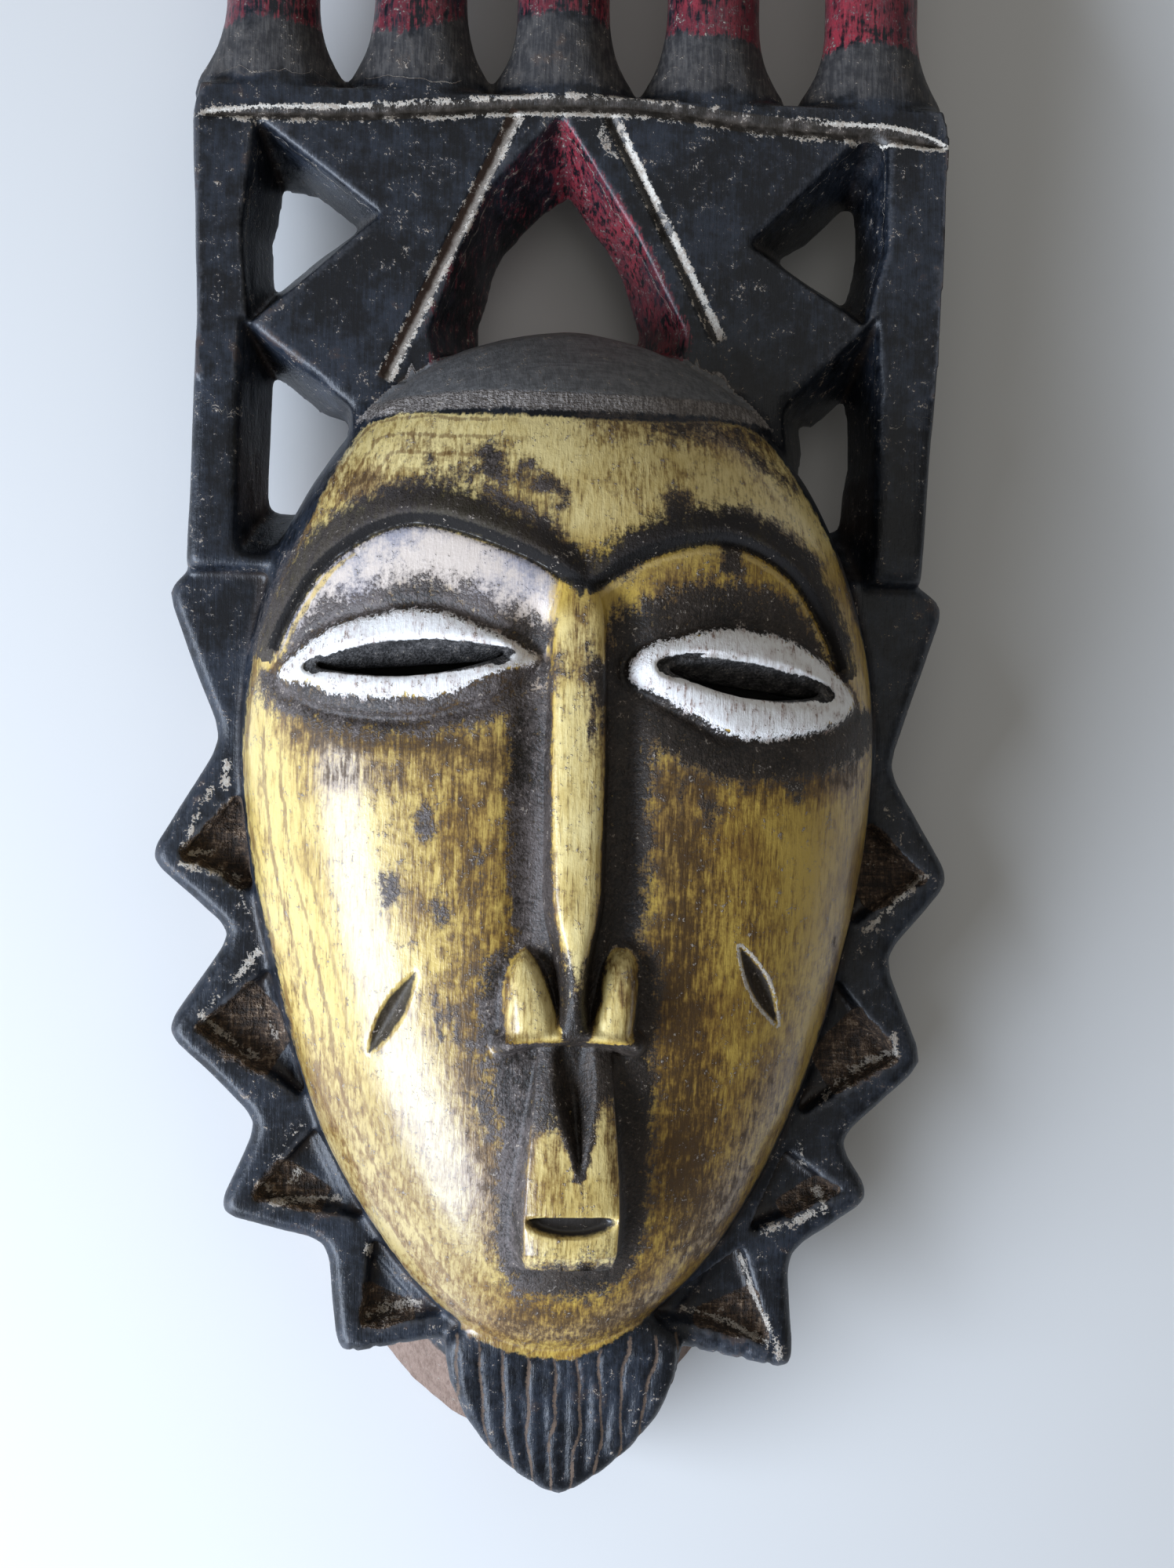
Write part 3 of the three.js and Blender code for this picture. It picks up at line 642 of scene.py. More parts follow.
def lattice(ix, iy, iz, seed):
    """A repeatable number from 0 to 1 for each corner of a lattice."""
    mix = (ix * 73856093) ^ (iy * 19349663) ^ (iz * 83492791) ^ (seed * 2654435)
    mix = (mix ^ (mix >> 13)) * 1274126177 & 0xFFFFFFFF
    mix = (mix ^ (mix >> 16)) * 668265263 & 0xFFFFFFFF
    return ((mix >> 8) & 0xFFFF) / 65535


def lumps(points, size, seed):
    """Smooth noise from -1 to 1 with lumps of about this size."""
    place = points / size
    cell = np.floor(place).astype(np.int64)
    part = place - cell
    part = part * part * (3 - 2 * part)
    total = np.zeros(len(points))
    for corner in range(8):
        d = np.array([corner & 1, corner >> 1 & 1, corner >> 2 & 1])
        share = np.prod(np.where(d, part, 1 - part), axis=1)
        total += share * lattice(*(cell + d).T, seed)
    return total * 2 - 1


TEETH = [
    [(-76.8, 9), (-93.6, -18.6), (-73.4, -35.3)],
    [(-73.4, -35.3), (-89, -58), (-67, -78.5)],
    [(-67, -78.5), (-76.5, -99.5), (-51, -106)],
    [(-51, -106), (-48.2, -132), (-24, -128)],
    [(77.6, 4.9), (93.4, -21.4), (77.4, -39.3)],
    [(77.4, -39.3), (87.4, -64), (67.2, -82.5)],
    [(67.2, -82.5), (75.6, -95.5), (55.6, -108.4)],
    [(55.6, -108.4), (57.6, -136), (27.4, -129)],
]


def pocket_share(x, y, z):
    """1 on the floor and walls of the pockets in the teeth."""
    best = np.zeros(x.shape)
    for above, tip, below in TEETH:
        home = ((above[0] + below[0]) * 0.38, (above[1] + below[1]) * 0.5)
        deep = inside_depth(x, y, closed_by(above, tip, below, home))
        best = np.maximum(best, step(deep, 3.2, 5.4))
    return best * step(z, 25, 27) * (1 - step(z, 33.2, 34.2))


normal = write_points(mask, points)
x, y, z = points.T
pocket = pocket_share(x, y, z)
drawn = points * np.array([1, 0.45, 1])
wave = 0.3 * lumps(points, 13, 1) + 0.1 * lumps(drawn, 3.6, 2)
rough = pocket * (0.55 * lumps(points, 3.1, 3) + 0.35 * lumps(points, 1.6, 4))
quiet = 1 - 0.75 * step(egg_reach(x, y), 1.0, 0.96) * (z > 36)
inner = step(-normal[:, 2], 0.2, 0.5) * step(z, 2, 5)
gouge = inner * 0.5 * lumps(points * np.array([1, 0.35, 1]), 7, 5)
rest = step(z, 0.3, 1.5)
points = points + normal * ((wave * quiet + rough + gouge) * rest)[:, None]
print("pockets:", int((pocket > 0.5).sum()), "corners")

# %% [markdown]
# The skin mustn't reach past the block it stands for, so the corners are kept
# within its box. Where the surface bulges from its surroundings it gets rubbed
# bare, and where it is hollow it gathers dirt, so that is measured now, while
# the skin is still even.

# %% Keep within the block and measure edges and hollows


def set_fields(piece, where=True, outside=0, **fields):
    """Keep numbers at the corners for the finish, with one value outside a region."""
    for name, values in fields.items():
        values = np.where(where, values, outside).astype(np.float32)
        piece.data.attributes.new(name, "FLOAT", "POINT").data.foreach_set("value", values)


points = np.clip(points, *(np.array(corner) / MM - MIDDLE for corner in block_box))
normal = write_points(mask, points)
level = relax(points, net, LEVEL_ROUNDS, everywhere)
bulge = ((points - level) * normal).sum(axis=1)
bulge = relax(bulge[:, None], net, 2, everywhere)[:, 0]
set_fields(mask, bulge=bulge)
print("bulge from", round(bulge.min(), 2), "to", round(bulge.max(), 2), "mm")

# %% [markdown]
# Decimation joins faces where the surface is plain and keeps them at the edges.
# It is run on the back, the sides and the posts first, so that the painted
# front keeps small faces, and then lightly on the whole.

# %% Thin the skin
BACK_TRIANGLES = 42000
MOST_TRIANGLES = 192000


def thin(piece, most, group=""):
    """Join faces where the surface is plain until few enough are left."""
    piece.data.calc_loop_triangles()
    share = most / len(piece.data.loop_triangles)
    fewer = piece.modifiers.new("fewer", "DECIMATE")
    fewer.vertex_group = group
    fewer.ratio = min(1, share)
    keep_result(piece)
    piece.data.calc_loop_triangles()
    return len(piece.data.loop_triangles)


x, y, z = points.T
painted = (normal[:, 2] > -0.1) & (z > 24) & (y < 158)
painted &= (y > 20) | (egg_reach(x, y) < 1.32) | (y < -120)
far = mask.vertex_groups.new(name="far")
far.add(np.flatnonzero(~painted).tolist(), 1, "REPLACE")
mask.data.calc_loop_triangles()
corners = np.empty(len(mask.data.loop_triangles) * 3, np.int32)
mask.data.loop_triangles.foreach_get("vertices", corners)
front_count = int(painted[corners].reshape(-1, 3).any(axis=1).sum())
print("front:", front_count, "of", len(mask.data.loop_triangles), "triangles")
print("after the back:", thin(mask, front_count + BACK_TRIANGLES, "far"))
thin(mask, MOST_TRIANGLES)
mask.vertex_groups.clear()
mask.data.polygons.foreach_set("use_smooth", [True] * len(mask.data.polygons))
points = read_points(mask)
normal = write_points(mask, points)
print("thinned:", len(mask.data.polygons), "faces in", round(time.time() - started, 1), "s")

# %% [markdown]
# ## Where each paint lies
#
# The painter laid a few flat colours over the black stain. Each is kept at the
# corners as a distance from its outline, because a distance stays sharp
# between corners and lets the finish fray the edge. Soot, painted shade, dirt
# and painted highlights lie over them in strokes, which are kept as amounts.

# %% Outlines of the paint
OCHRE = rounded([
    (-43, 80.6), (-51.7, 69.6), (-58.4, 55.3), (-65.2, 41), (-69.8, 25), (-71.9, 7.4), (-71.8, -1.4),
    (-68.5, -22.4), (-62.9, -43.5), (-58.1, -64.6), (-54, -78.7), (-47.1, -92.8), (-38, -106.9),
    (-25.4, -121.1), (-11.1, -129.1), (-0.4, -131.2), (6.7, -130.9), (20.9, -122.9), (35.1, -108.6),
    (45.6, -91.6), (54.4, -72.7), (60.4, -54.7), (65.5, -36.7), (68.9, -22.3), (70.5, -7.9),
    (71.1, 10.1), (69.9, 26.3), (67, 37), (61.2, 53.1), (53.7, 66.3), (46.3, 76.9), (38, 81),
    (20, 79.6), (0, 79.4), (-20, 80.2),
], closed=True, steps=4)
WHITES = [
    rounded([(-63.8, 23.5), (-59.5, 28.1), (-51.9, 33.4), (-44.3, 35.4), (-35.2, 37.1), (-27, 36.2),
             (-18.7, 32.8), (-11.2, 29.2), (-7.8, 26), (-14.5, 23.6), (-21.8, 20.6), (-29.2, 17.5),
             (-40.7, 17.2), (-51.6, 18), (-56.5, 20), (-62.4, 20.9)], closed=True),
    rounded([(11.8, 21.4), (11.5, 25.2), (15.2, 30.3), (21.4, 31.7), (30.2, 33.9), (37.6, 34),
             (47, 32.3), (55.2, 28.1), (62.1, 22.9), (64.4, 19), (60, 14.3), (50.1, 10.8),
             (38.6, 9.5), (31.2, 11.5), (25.6, 14.8), (16.9, 19)], closed=True),
]
x, y, z = points.T
on_front = (normal[:, 2] > -0.25) & (z > dome_height(x, y) - 9) & (z > 34.5)
ochre = np.minimum(inside_depth(x, y, OCHRE, 30), (z - 37.5) * 0.8)
white = inside_any(x, y, WHITES)
lid = [inside_depth(x, y, outline) for outline in LIDS]
cut = inside_any(x, y, SLITS)
below_skin = face_height(x, y) - z
in_wall = step(below_skin, 0.5, 1.2) * step(cut, -6, -4) * (z > 45) * (normal[:, 2] > -0.6)
set_fields(mask, slit=np.maximum(cut, in_wall * 2 - 1))
set_fields(mask, on_front, -9, ochre=ochre, eye_white=white)
print("ochre:", int((ochre > 0).sum()), "corners")

# %% [markdown]
# The brows are black above their sharp edge and fade into the ochre, and a
# thin line of painted highlight, a brighter ochre, lies on the edge of the
# hollow under them. It is weaker near the nose on the left.

# %% Black of the brows
band = np.full(x.shape, -9.0)
under = np.full(x.shape, 99.0)
rubbed = np.zeros(x.shape)
sharp = np.zeros(x.shape)
for line, hand, high in zip(BROWS, (-1, 1), (9.6, 8.2)):
    above, share = brow_place(x, y, line, hand)
    wide = high * np.sqrt(np.sin(np.pi * (0.14 + 0.76 * share)))
    inner = np.minimum((above + 0.3) * 1.6, (wide - above) * 0.55)
    band = np.maximum(band, np.where((share > 0.001) & (share < 0.999), inner, -9))
    below = np.where((share > 0.01) & (share < 0.99), -above, 99)
    under = np.where((below > -1) & (below < np.abs(under)), below, under)
    lip = np.exp(-((above + 1.9) / 0.9) ** 2) * (share > 0.02) * (share < 0.98)
    lip = lip * (0.3 + 0.7 * step(np.abs(x + 6), 36, 48)) if hand < 0 else lip
    rubbed = np.maximum(rubbed, lip)
    sharp = np.maximum(sharp, np.exp(-((above - 0.7) / 1.5) ** 2) * (share > 0.001) * (share < 0.96))
set_fields(mask, on_front, -9, brow_black=band)
set_fields(mask, on_front, rubbed_lip=rubbed, brow_edge=sharp)

# %% [markdown]
# Soot lies in every hollow and was wiped off the raised parts, and painted
# shade lies in the same hollows, so most of the black can be told from the
# forms: it hugs the lids, the nose, the wings and the mouth block, and fades
# away from them. It reaches further on the right of each form, the side turned
# from the light, and that is painted shade.

# %% Soot and painted shade in the hollows


def fading(value, full, gone):
    """1 up to full and 0 from gone, with a smooth fall between."""
    return 1 - step(value, full, gone)


def outline_of(rows, left, right):
    """A closed outline from the left and right edges of rows."""
    return closed_by(*zip(left, rows), *reversed(list(zip(right, rows))))


left_side, right_side = step(-x, -2, 4), step(x, -2, 4)
from_left, from_right = -lid[0], -lid[1]
over_left = step(y - (23.5 + (x + 64) * 0.05), -1, 2)
over_right = step(y - (24 - (x - 11) * 0.12), -1, 2)
# Soot and painted shade hug the lids. The ring round the right eye, which is turned from the light, is
# wider.
smoke = 0.88 * fading(from_left, 2.0, 11) * over_left * step(under, -0.5, 4.5) * (under < 40)
smoke = np.maximum(smoke, 0.85 * np.exp(-((from_left - 1.6) / 4.0) ** 2) * (1 - over_left))
ring = (1.0 - 0.45 * step(under, 6, 1.5)) * fading(from_right, 4.5, 14)
smoke = np.maximum(smoke, ring * over_right * (under < 40) * step(under, 0.2, 1.6))
smoke = np.maximum(smoke, 1.05 * fading(from_right, 5.5, 13) * (1 - over_right) * step(y, -6, 1))
smoke = smoke * (np.minimum(from_left, from_right) > -1.5)
low_lid = (white < 1.2) & (from_left < 0.5) & (y < 24)
smoke = np.where(low_lid, 0.8, smoke)

half = np.interp(y, NOSE_ROWS, NOSE_HALF)
off_bar = np.abs(x - NOSE_X) - half
along = step(y, -56, -50) * (1 - step(y, np.where(x < 0, 13, 24), np.where(x < 0, 30, 40)))
# Painted shade beside the nose bar, wider on the right, the side turned from the light.
wall = step(off_bar, -0.4, 0.7) * (
    left_side * 1.05 * fading(off_bar, 6.5, 11.5) + right_side * 1.1 * fading(off_bar, 6.5, 15.0)
)
smoke = np.maximum(smoke, wall * along)
wing = inside_any(x, y, [outline_of(WING_ROWS, *edges) for edges in WINGS])
round_wing = fading(-wing, 3.0, 8.5) * step(-wing, -0.9, 0.1) * step(-y, 33, 38) * step(y, -60, -55)
smoke = np.where(wing > -0.6, smoke * step(-wing, -0.3, 0.6), np.maximum(smoke, round_wing))

off_block = -inside_depth(x, y, outline_of(MOUTH_ROWS, *MOUTH_SIDES), 30)
# Painted shade round the mouth block, wider on its right.
reach = np.where(x < MOUTH_X, 4.6, 6.4) * np.clip(1 - (-64 - y) * 0.006, 0.6, 1)
mouth = 1.1 * fading(off_block / reach, 0.7, 2.1) * step(off_block, -0.2, 0.6) * (y < -55.5)
low = np.where(x < MOUTH_X, fading(-y, 69, 78), fading(-y, 63.5, 73))
under_nose = 1.05 * low * (y < -56) * fading(np.abs(x - MOUTH_X), 14, 21)
share, off = furrow_place(x, y)
in_furrow = 1.1 * fading(off, 0.8, 1.25) * (y < -56) * fading(-y, 84, 87.5)
smoke = np.maximum.reduce([smoke, mouth, under_nose, in_furrow])
set_fields(mask, on_front, -2, lips=lip_depth(x, y))

# %% [markdown]
# The rest are single flakes and smears: short lines, each with half its width
# and its strength. Black ones are chips in the paint of the forehead and the
# cheeks, and two broad ones darken the band under the mouth block. Brown ones
# are where the ochre is worn to the stain, and the broad brown ones under the
# eyes and beside the nose are painted shade.

# %% Strokes of black and brown
BLACK = [
    (-18.4, 70.5, -18.1, 67.6, 2.5, 1), (-17.7, 65.8, -15.7, 65.8, 1.8, 0.85),
    (-10.7, 68.4, -10.7, 65.5, 1.5, 0.85), (-8.8, 63.5, -6.1, 64.6, 1.7, 0.9),
    (-4.1, 64.6, -2.4, 60.1, 1, 0.8), (-31.4, 71.6, -31.4, 66, 1, 0.55), (-5.8, 61.1, -5.1, 58.7, 0.8, 0.6),
    (-13.6, 68.7, -13.1, 64.8, 0.8, 0.6), (18.3, 78.1, 41, 77.9, 3, 0.6),
    (40.4, 73.8, 50.1, 67.7, 2.4, 0.55), (1, 80.3, 16.6, 79.8, 1.7, 0.5), (22, 60.7, 21.9, 57.3, 2.9, 1),
    (14.9, 52.1, 21, 54.1, 2.5, 0.85), (28, 56.6, 39, 57.3, 2.8, 0.85), (43.7, 55.6, 52.4, 49.3, 3, 0.85),
    (9, 46.5, 12.7, 50.3, 2.4, 0.85), (-39.4, 63.4, -22.7, 65.8, 2.4, 0.55),
    (-19.4, 62, -11.1, 58.2, 2.5, 0.7), (-7.8, 55.2, -1.4, 48.2, 2.2, 0.8),
    (-52.7, 46.7, -44.3, 54.7, 1.7, 0.5), (33.3, 52.2, 33.6, 47.5, 2.4, 1),
    (54.1, 42.4, 61.3, 32.4, 2.4, 0.8), (-20.7, -55.7, -20, -59.1, 1.3, 0.6),
    (-28.2, -46.5, -27, -55.9, 0.8, 0.8), (-25.1, -45.6, -24.1, -54.1, 0.8, 0.8),
    (-18.9, -48.8, -17.1, -67.6, 1.2, 0.7), (-18.4, -67.6, -15.5, -76.3, 2, 0.8),
    (-31.7, -7.9, -31.1, -10.2, 2, 0.95), (-38.3, -22.1, -38, -24.4, 2, 0.9),
    (-28, -27.1, -26.9, -29.1, 1.5, 0.8), (-49, -14.4, -48.8, -16.4, 1.2, 0.8),
    (-19.6, -16.3, -19.2, -19.6, 1.2, 0.7), (-23.5, -3.8, -22.8, -7.1, 0.8, 0.6),
    (28.9, -4.6, 29.8, -6.6, 2, 0.9), (48.1, -0.2, 49.2, -1.2, 1.7, 0.85),
    (22.8, -1.3, 23.5, -3.6, 1.2, 0.7), (37, 0.6, 38.1, -1.1, 1.2, 0.6), (2.7, 10.8, 3.9, 9.1, 1.3, 0.8),
    (1.6, 28.2, 2.8, 26.2, 1.2, 0.6), (5.9, 20, 5.4, 11.7, 0.6, 0.6), (-2.8, 49.9, 1.9, 42.9, 1.7, 1),
    (1.7, -46.7, 2.8, -52.2, 1, 0.8), (-6.5, -108.4, 9.5, -107.6, 4.4, 1.2), (-3, -111.5, 6, -112, 3, 0.7),
    (62.9, 52, 66.5, 38, 1.6, 0.5),
]
BROWN = [
    (-57, 10.8, -15.4, 5.5, 5.5, 0.95), (-51.8, 1.6, -15.3, -0.3, 4.4, 0.75),
    (-23.4, -7.1, -19.6, -33.6, 8, 0.72), (-21.2, -37, -18.4, -67.6, 7.5, 0.8),
    (-35, -5.6, -31.2, -30.6, 5.4, 0.5), (-16, -76.3, -12.6, -99.7, 6.4, 0.75),
    (19.7, 0.3, 28.3, -1.2, 6, 0.95), (38.8, -0.2, 63.4, 3.6, 5, 0.9), (22.5, -9.7, 25.6, -29.8, 9, 0.9),
    (22.3, -33.2, 24.2, -56.1, 9, 0.95), (33.9, -14.6, 41.9, -35.9, 7, 0.5),
    (25.5, -62.2, 30.2, -99.4, 10, 0.95), (44.5, -68.2, 36.2, -99.4, 8, 0.7),
    (52, -40.2, 46.2, -62.4, 5, 0.42), (61.8, -32.5, 62.1, -59.2, 1.8, 0.7),
    (61.1, -61, 50.4, -83.9, 1.8, 0.6), (-6.9, -121.2, 20.8, -119.1, 8, 0.9),
    (22.3, -100.3, 14.2, -116.2, 6, 0.7), (-2.6, -70.7, -3.1, -84.8, 1.5, 0.65),
    (9.2, -64, 10.3, -84.9, 1.8, 0.7), (-6.5, -68.2, -7.6, -76.2, 1.8, 0.8),
    (-4.8, -84.9, 10.8, -88.5, 1.3, 0.3), (-4, -103.2, 9.9, -103.3, 1.3, 0.4),
    (-51.5, 66.8, -36, 61.8, 5, 0.75), (-56.6, 59.9, -63.2, 44, 2.5, 0.55),
    (-32.8, 72.6, -22.7, 68.7, 5, 0.5), (5.9, 16.7, 7.3, -33.2, 0.8, 0.6),
    (-5.7, 16.4, -4.7, -33.4, 0.7, 0.5), (-43.6, 15, -15.6, 17.9, 2.8, 0.9), (-1, 39.8, 1.2, 23.2, 2.7, 0.5),
    (10.9, 67.6, 47.3, 63.4, 4.4, 0.22), (5, 78.6, 44.3, 75.4, 4, 0.55),
    (-54.5, -67.7, -41.8, -96.1, 1.2, 0.5), (-47.2, -83.3, -25.7, -113, 1, 0.6),
    (-61.9, -21.8, -58.1, -53.4, 1, 0.4), (-67.6, 2.2, -65.5, -22.1, 0.7, 0.4),
    (-36.2, -107.7, -11.1, -126.5, 1.2, 0.6), (-26.3, -97, -12, -113.3, 1.3, 0.45),
    (-4.9, -26.7, -4.4, -33.4, 1, 0.5), (8.7, -38, 12.6, -50, 1.2, 0.45), (-36, -88, -14, -116, 6, 0.42),
    (-50, -62, -40, -84, 5, 0.28), (20.9, 42.7, 44.3, 40.4, 4, 0.75), (12.9, 33.7, 20.3, 44.4, 3, 0.75),
]


def laid(x, y, strokes):
    """How much of a paint the strokes leave at each point."""
    amount = np.zeros(x.shape)
    for *ends, half, strength in strokes:
        far = from_line(x, y, np.reshape(ends, (2, 2)))[0]
        amount = np.maximum(amount, strength * np.exp(-0.7 * (far / half) ** 2))
    return amount


smoke = np.maximum(smoke, laid(x, y, BLACK))
# The brown also rings the soot and its painted shade.
umber = np.maximum(laid(x, y, BROWN), 0.9 * np.clip(smoke * 1.25, 0, 1))
on_lid = np.maximum(*lid)
umber = np.where((on_lid > -1.5) & (white < 0), np.maximum(umber, 1.25), umber)
# Painted highlight: pale in the hollow under the left brow, with a stroke by the root of the nose.
chalk = step(under, 0.2, 1.6) * fading(under, 8, 19) * fading(x, -9, -3) * (under < 40)
chalk = np.maximum(1.15 * chalk * step(from_left, 0.5, 5.5), laid(x, y, [(-9.5, 40, -8.5, 21, 2.4, 0.62)]))
bar_part = step(NOSE_Y_TOP - y, 0, 10) * step(-off_bar, -0.5, 1.5) * step(y, -56, -50)
# Paler ochre on the raised forms is partly wear and partly painted sheen, and the paler left side is painted
# light.
pale = np.maximum.reduce([
    bar_part, 0.75 * step(-off_block, -0.5, 1.0), 0.9 * step(wing, -0.5, 1.0),
    (0.95 - 0.1 * step(x, -25, 30)) * step(y, 48, 58), 0.38 * step(-x, 4, 40),
])
dull = step(-x, -4, 24) * step(-y, 34, 92)
set_fields(mask, on_front, smoke=smoke, umber=umber, chalk=chalk, pale=pale, dull=dull)
for name, amount in {"smoke": smoke, "umber": umber, "chalk": chalk}.items():
    print(name, "covers", round(float((amount[on_front] > 0.5).mean()) * 100, 1), "% of the front")

# %% [markdown]
# White was run along the edges of the crest's cuts with a stick, and it has
# partly worn off. The finish draws those lines from the distance to each cut.

# %% White lines
on_board = (z > 36.4) & (normal[:, 2] > -0.1) & (y > 86) & (y < 159)
above, wide = from_top_cut(x, y)
UPPER_WHITE = ([-84, -82, -50, -44, -30, 10, 20, 55, 62, 86],
               [0.2, 1.1, 1.0, 0.65, 0.6, 0.65, 0.4, 0.35, 1, 1.2])
LOWER_WHITE = ([-84, -78, -50, -36, -30, 8, 30, 60, 66, 86],
               [0.5, 0.6, 0.35, 0.4, 1, 0.85, 0.4, 0.5, 1, 1.2])
RIGHT_WHITE = ([0, 0.08, 0.12, 0.38, 0.44, 0.52, 0.56, 0.94, 1], [0.3, 0.5, 1, 1, 0.55, 0.55, 1, 1, 0.4])
left_off, left_share = from_cut(x, y, LEFT_CUT)
right_off, right_share = from_cut(x, y, RIGHT_CUT)
set_fields(mask, on_board, 30, top_cut=above, left_cut=left_off, right_cut=right_off)
set_fields(
    mask, top_wide=wide, left_cut_share=left_share, right_cut_share=right_share,
    upper_white=np.interp(x, *UPPER_WHITE), lower_white=np.interp(x, *LOWER_WHITE),
    right_white=np.interp(right_share, *RIGHT_WHITE),
)
scar = scar_depth(x, y)
set_fields(mask, on_front, -9, scar=scar)
set_fields(mask, on_front & (x > 0), -9, scar_white=0.75 - np.abs(scar + 0.35))
print("white lines:", int((np.abs(above) < wide)[on_board].sum()), "corners on the top cut")

# %% [markdown]
# Splashes of the same white lie along the broken edges of the teeth's pockets.

# %% White on the teeth
CREAM = [
    (-75.6, 3.9, -75.8, -1.9, 0.9, 1.1), (-85.5, -19.8, -82.3, -20.3, 0.6, 1.1),
    (-83.9, -17.4, -79.3, -17, 0.8, 0.7), (-85.4, -15.9, -78.8, -2, 0.8, 0.7),
    (-82.3, -20.9, -73.1, -22.3, 0.8, 0.65), (-73.1, -23.4, -70.7, -30.4, 1, 0.55),
    (-67.9, -39.2, -71.6, -44.3, 0.9, 1), (-71.6, -44.3, -80.6, -54, 0.7, 0.62),
    (-80.6, -54, -76.7, -58.2, 0.8, 0.8), (-76.7, -58.2, -68.6, -63.5, 0.9, 0.7),
    (-64.9, -55.8, -63.7, -59.6, 0.8, 0.6), (-58.5, -90.2, -58.2, -90.9, 1, 1.1),
    (-65.8, -92.5, -63.6, -96.7, 0.8, 0.7), (-63.6, -96.7, -48.5, -96.3, 0.7, 0.9),
    (-59.5, -92.1, -55.3, -93.7, 0.9, 0.6), (-57.2, -78.6, -62.6, -85.8, 0.9, 0.5),
    (-41.6, -106.9, -41.8, -108.3, 0.9, 1.1), (-40.5, -123.3, -30.4, -119.9, 1.5, 0.7),
    (-40.5, -122.5, -34.7, -117.4, 1.3, 0.55), (72.6, -32.9, 81.3, -24.9, 0.8, 1.1),
    (81.3, -24.9, 86.8, -19.7, 0.7, 0.75), (76.1, -3.3, 78.6, -7.2, 0.7, 0.75),
    (79.9, -61.7, 73.2, -64.5, 0.8, 1), (73.2, -64.5, 62.9, -72.1, 1.1, 0.62),
    (79.4, -57, 80.2, -61.7, 0.5, 0.9), (62.6, -94.3, 63.8, -98.1, 1, 1.05),
    (61.1, -98.9, 57.3, -100.4, 1.1, 1), (55.8, -101.1, 48.3, -103.4, 1, 0.7),
    (57.8, -82.7, 59, -87.6, 0.8, 0.7), (44.9, -109.4, 47.7, -117.7, 0.5, 0.95),
    (47.7, -117.7, 51.7, -126, 0.6, 1.05), (52.1, -126.7, 54.5, -132.8, 0.7, 0.8),
    (32.3, -121.8, 41, -124.5, 0.8, 0.8), (41, -124.5, 51, -129, 0.8, 0.9),
]
DABS = [(6.5, 150.8, 7.8, 146.7, 0.8, 1), (7.8, 146.7, 10.3, 143.1, 0.8, 0.9)]
reach = egg_reach(x, y)
on_border = (z > 25) & (normal[:, 2] > -0.3) & (y < 12) & (reach > 1.0)
cream = np.where(on_border, laid(x, y, CREAM), np.where(on_board, laid(x, y, DABS), 0))
set_fields(mask, cream=cream, pocket=pocket_share(x, y, z))
print("splashes:", int((cream > 0.5).sum()), "corners")

# %% [markdown]
# Red covers the posts and the walls of the middle hole. The back and the hollow
# were never painted, and the beard and hair keep their own black.

# %% Red, bare wood, hair and beard
RED_FROM = ([-80, -72, -60, -46, -39, -30, -24, -1.5, 20, 33, 45, 57, 69, 81],
            [170, 172, 171, 172, 169.5, 172.5, 175, 176, 174, 172, 171, 170.5, 172.5, 170.5])
red_line = np.interp(x, *RED_FROM)
hole = inside_depth(x, y, HOLES[4])
walls = np.where(reach > 1.004, np.minimum((hole + 0.9) * 2, 5.0), -9)
red = np.where(y > 160, np.clip(y - red_line, -9, 9), np.where(y > 86, walls, -9))
# Sides turned from the light keep less red: painted shade.
wall_side, post_side = np.minimum(x + 2, 0.1), np.clip((x - 24) / 14, -0.3, 3)
inside = ((z < dome_height(x, y) - 6) | (normal[:, 2] < -0.3)) & (reach < 1.0) & (y < 100)
raw = np.where(inside, 6, np.where(y > 84, -6, np.minimum(18.5 - z, 6)))
raw = np.where((reach > np.where(y > 40, 1.1, 1.28)) | (in_wall > 0.3), -6, raw)
dust = step(y, 156, 161) * (1 - step(y - red_line, -2, 5))
on_cap = on_front & (ochre < 5) & (reach < 1.012) & (np.abs(x) < 62)
beard = (y < BEARD_FROM) & (z > 20) & (reach > 1.0) & (np.abs(x - 4) < 26)
set_fields(
    mask, red=red, hole_side=np.where(y < 152, wall_side, post_side),
    bare=np.maximum(raw, np.where((z < 1.2) & (y < 100), 6, -9)), dust=dust,
    comb=comb_place(x, y), beard=beard,
    cap_rim=np.exp(-((reach - 0.992) / 0.008) ** 2) * (y > 84) * (z > 36),
)
set_fields(mask, on_cap, -9, hair=hair_place(x, y))
print("red:", int((red > 0).sum()), "corners, beard:", int(beard.sum()))

# %% [markdown]
# ## The finish
#
# One finish covers the whole block. It is built from the stain upward, and each
# coat has a mask: the distance or amount kept at the corners, frayed by the
# wood's patterns and cut with a narrow threshold.

# %% Helpers for the finish
wood = {}


def new_finish(name):
    """Start an empty finish, and its tree of nodes."""
    finish = bpy.data.materials.new(name)
    finish.use_nodes = True
    finish.node_tree.nodes.clear()
    return finish, finish.node_tree


def put(kind, inputs, out=0, **settings):
    """Add a node, feed its inputs and return one of its outputs."""
    node = tree.nodes.new(kind)
    for key, value in settings.items():
        setattr(node, key, value)
    for key, value in inputs.items():
        if isinstance(value, bpy.types.NodeSocket):
            tree.links.new(value, node.inputs[key])
        else:
            node.inputs[key].default_value = value
    return node.outputs[out]


def maths(operation, first, *others):
    """An operation on one number, or on several in turn."""
    if not others:
        return put("ShaderNodeMath", {0: first}, operation=operation)
    for other in others:
        first = put("ShaderNodeMath", {0: first, 1: other}, operation=operation)
    return first


def times(*values):
    """Numbers multiplied."""
    return maths("MULTIPLY", *values)


def largest(*values):
    """The largest of several numbers."""
    return maths("MAXIMUM", *values)


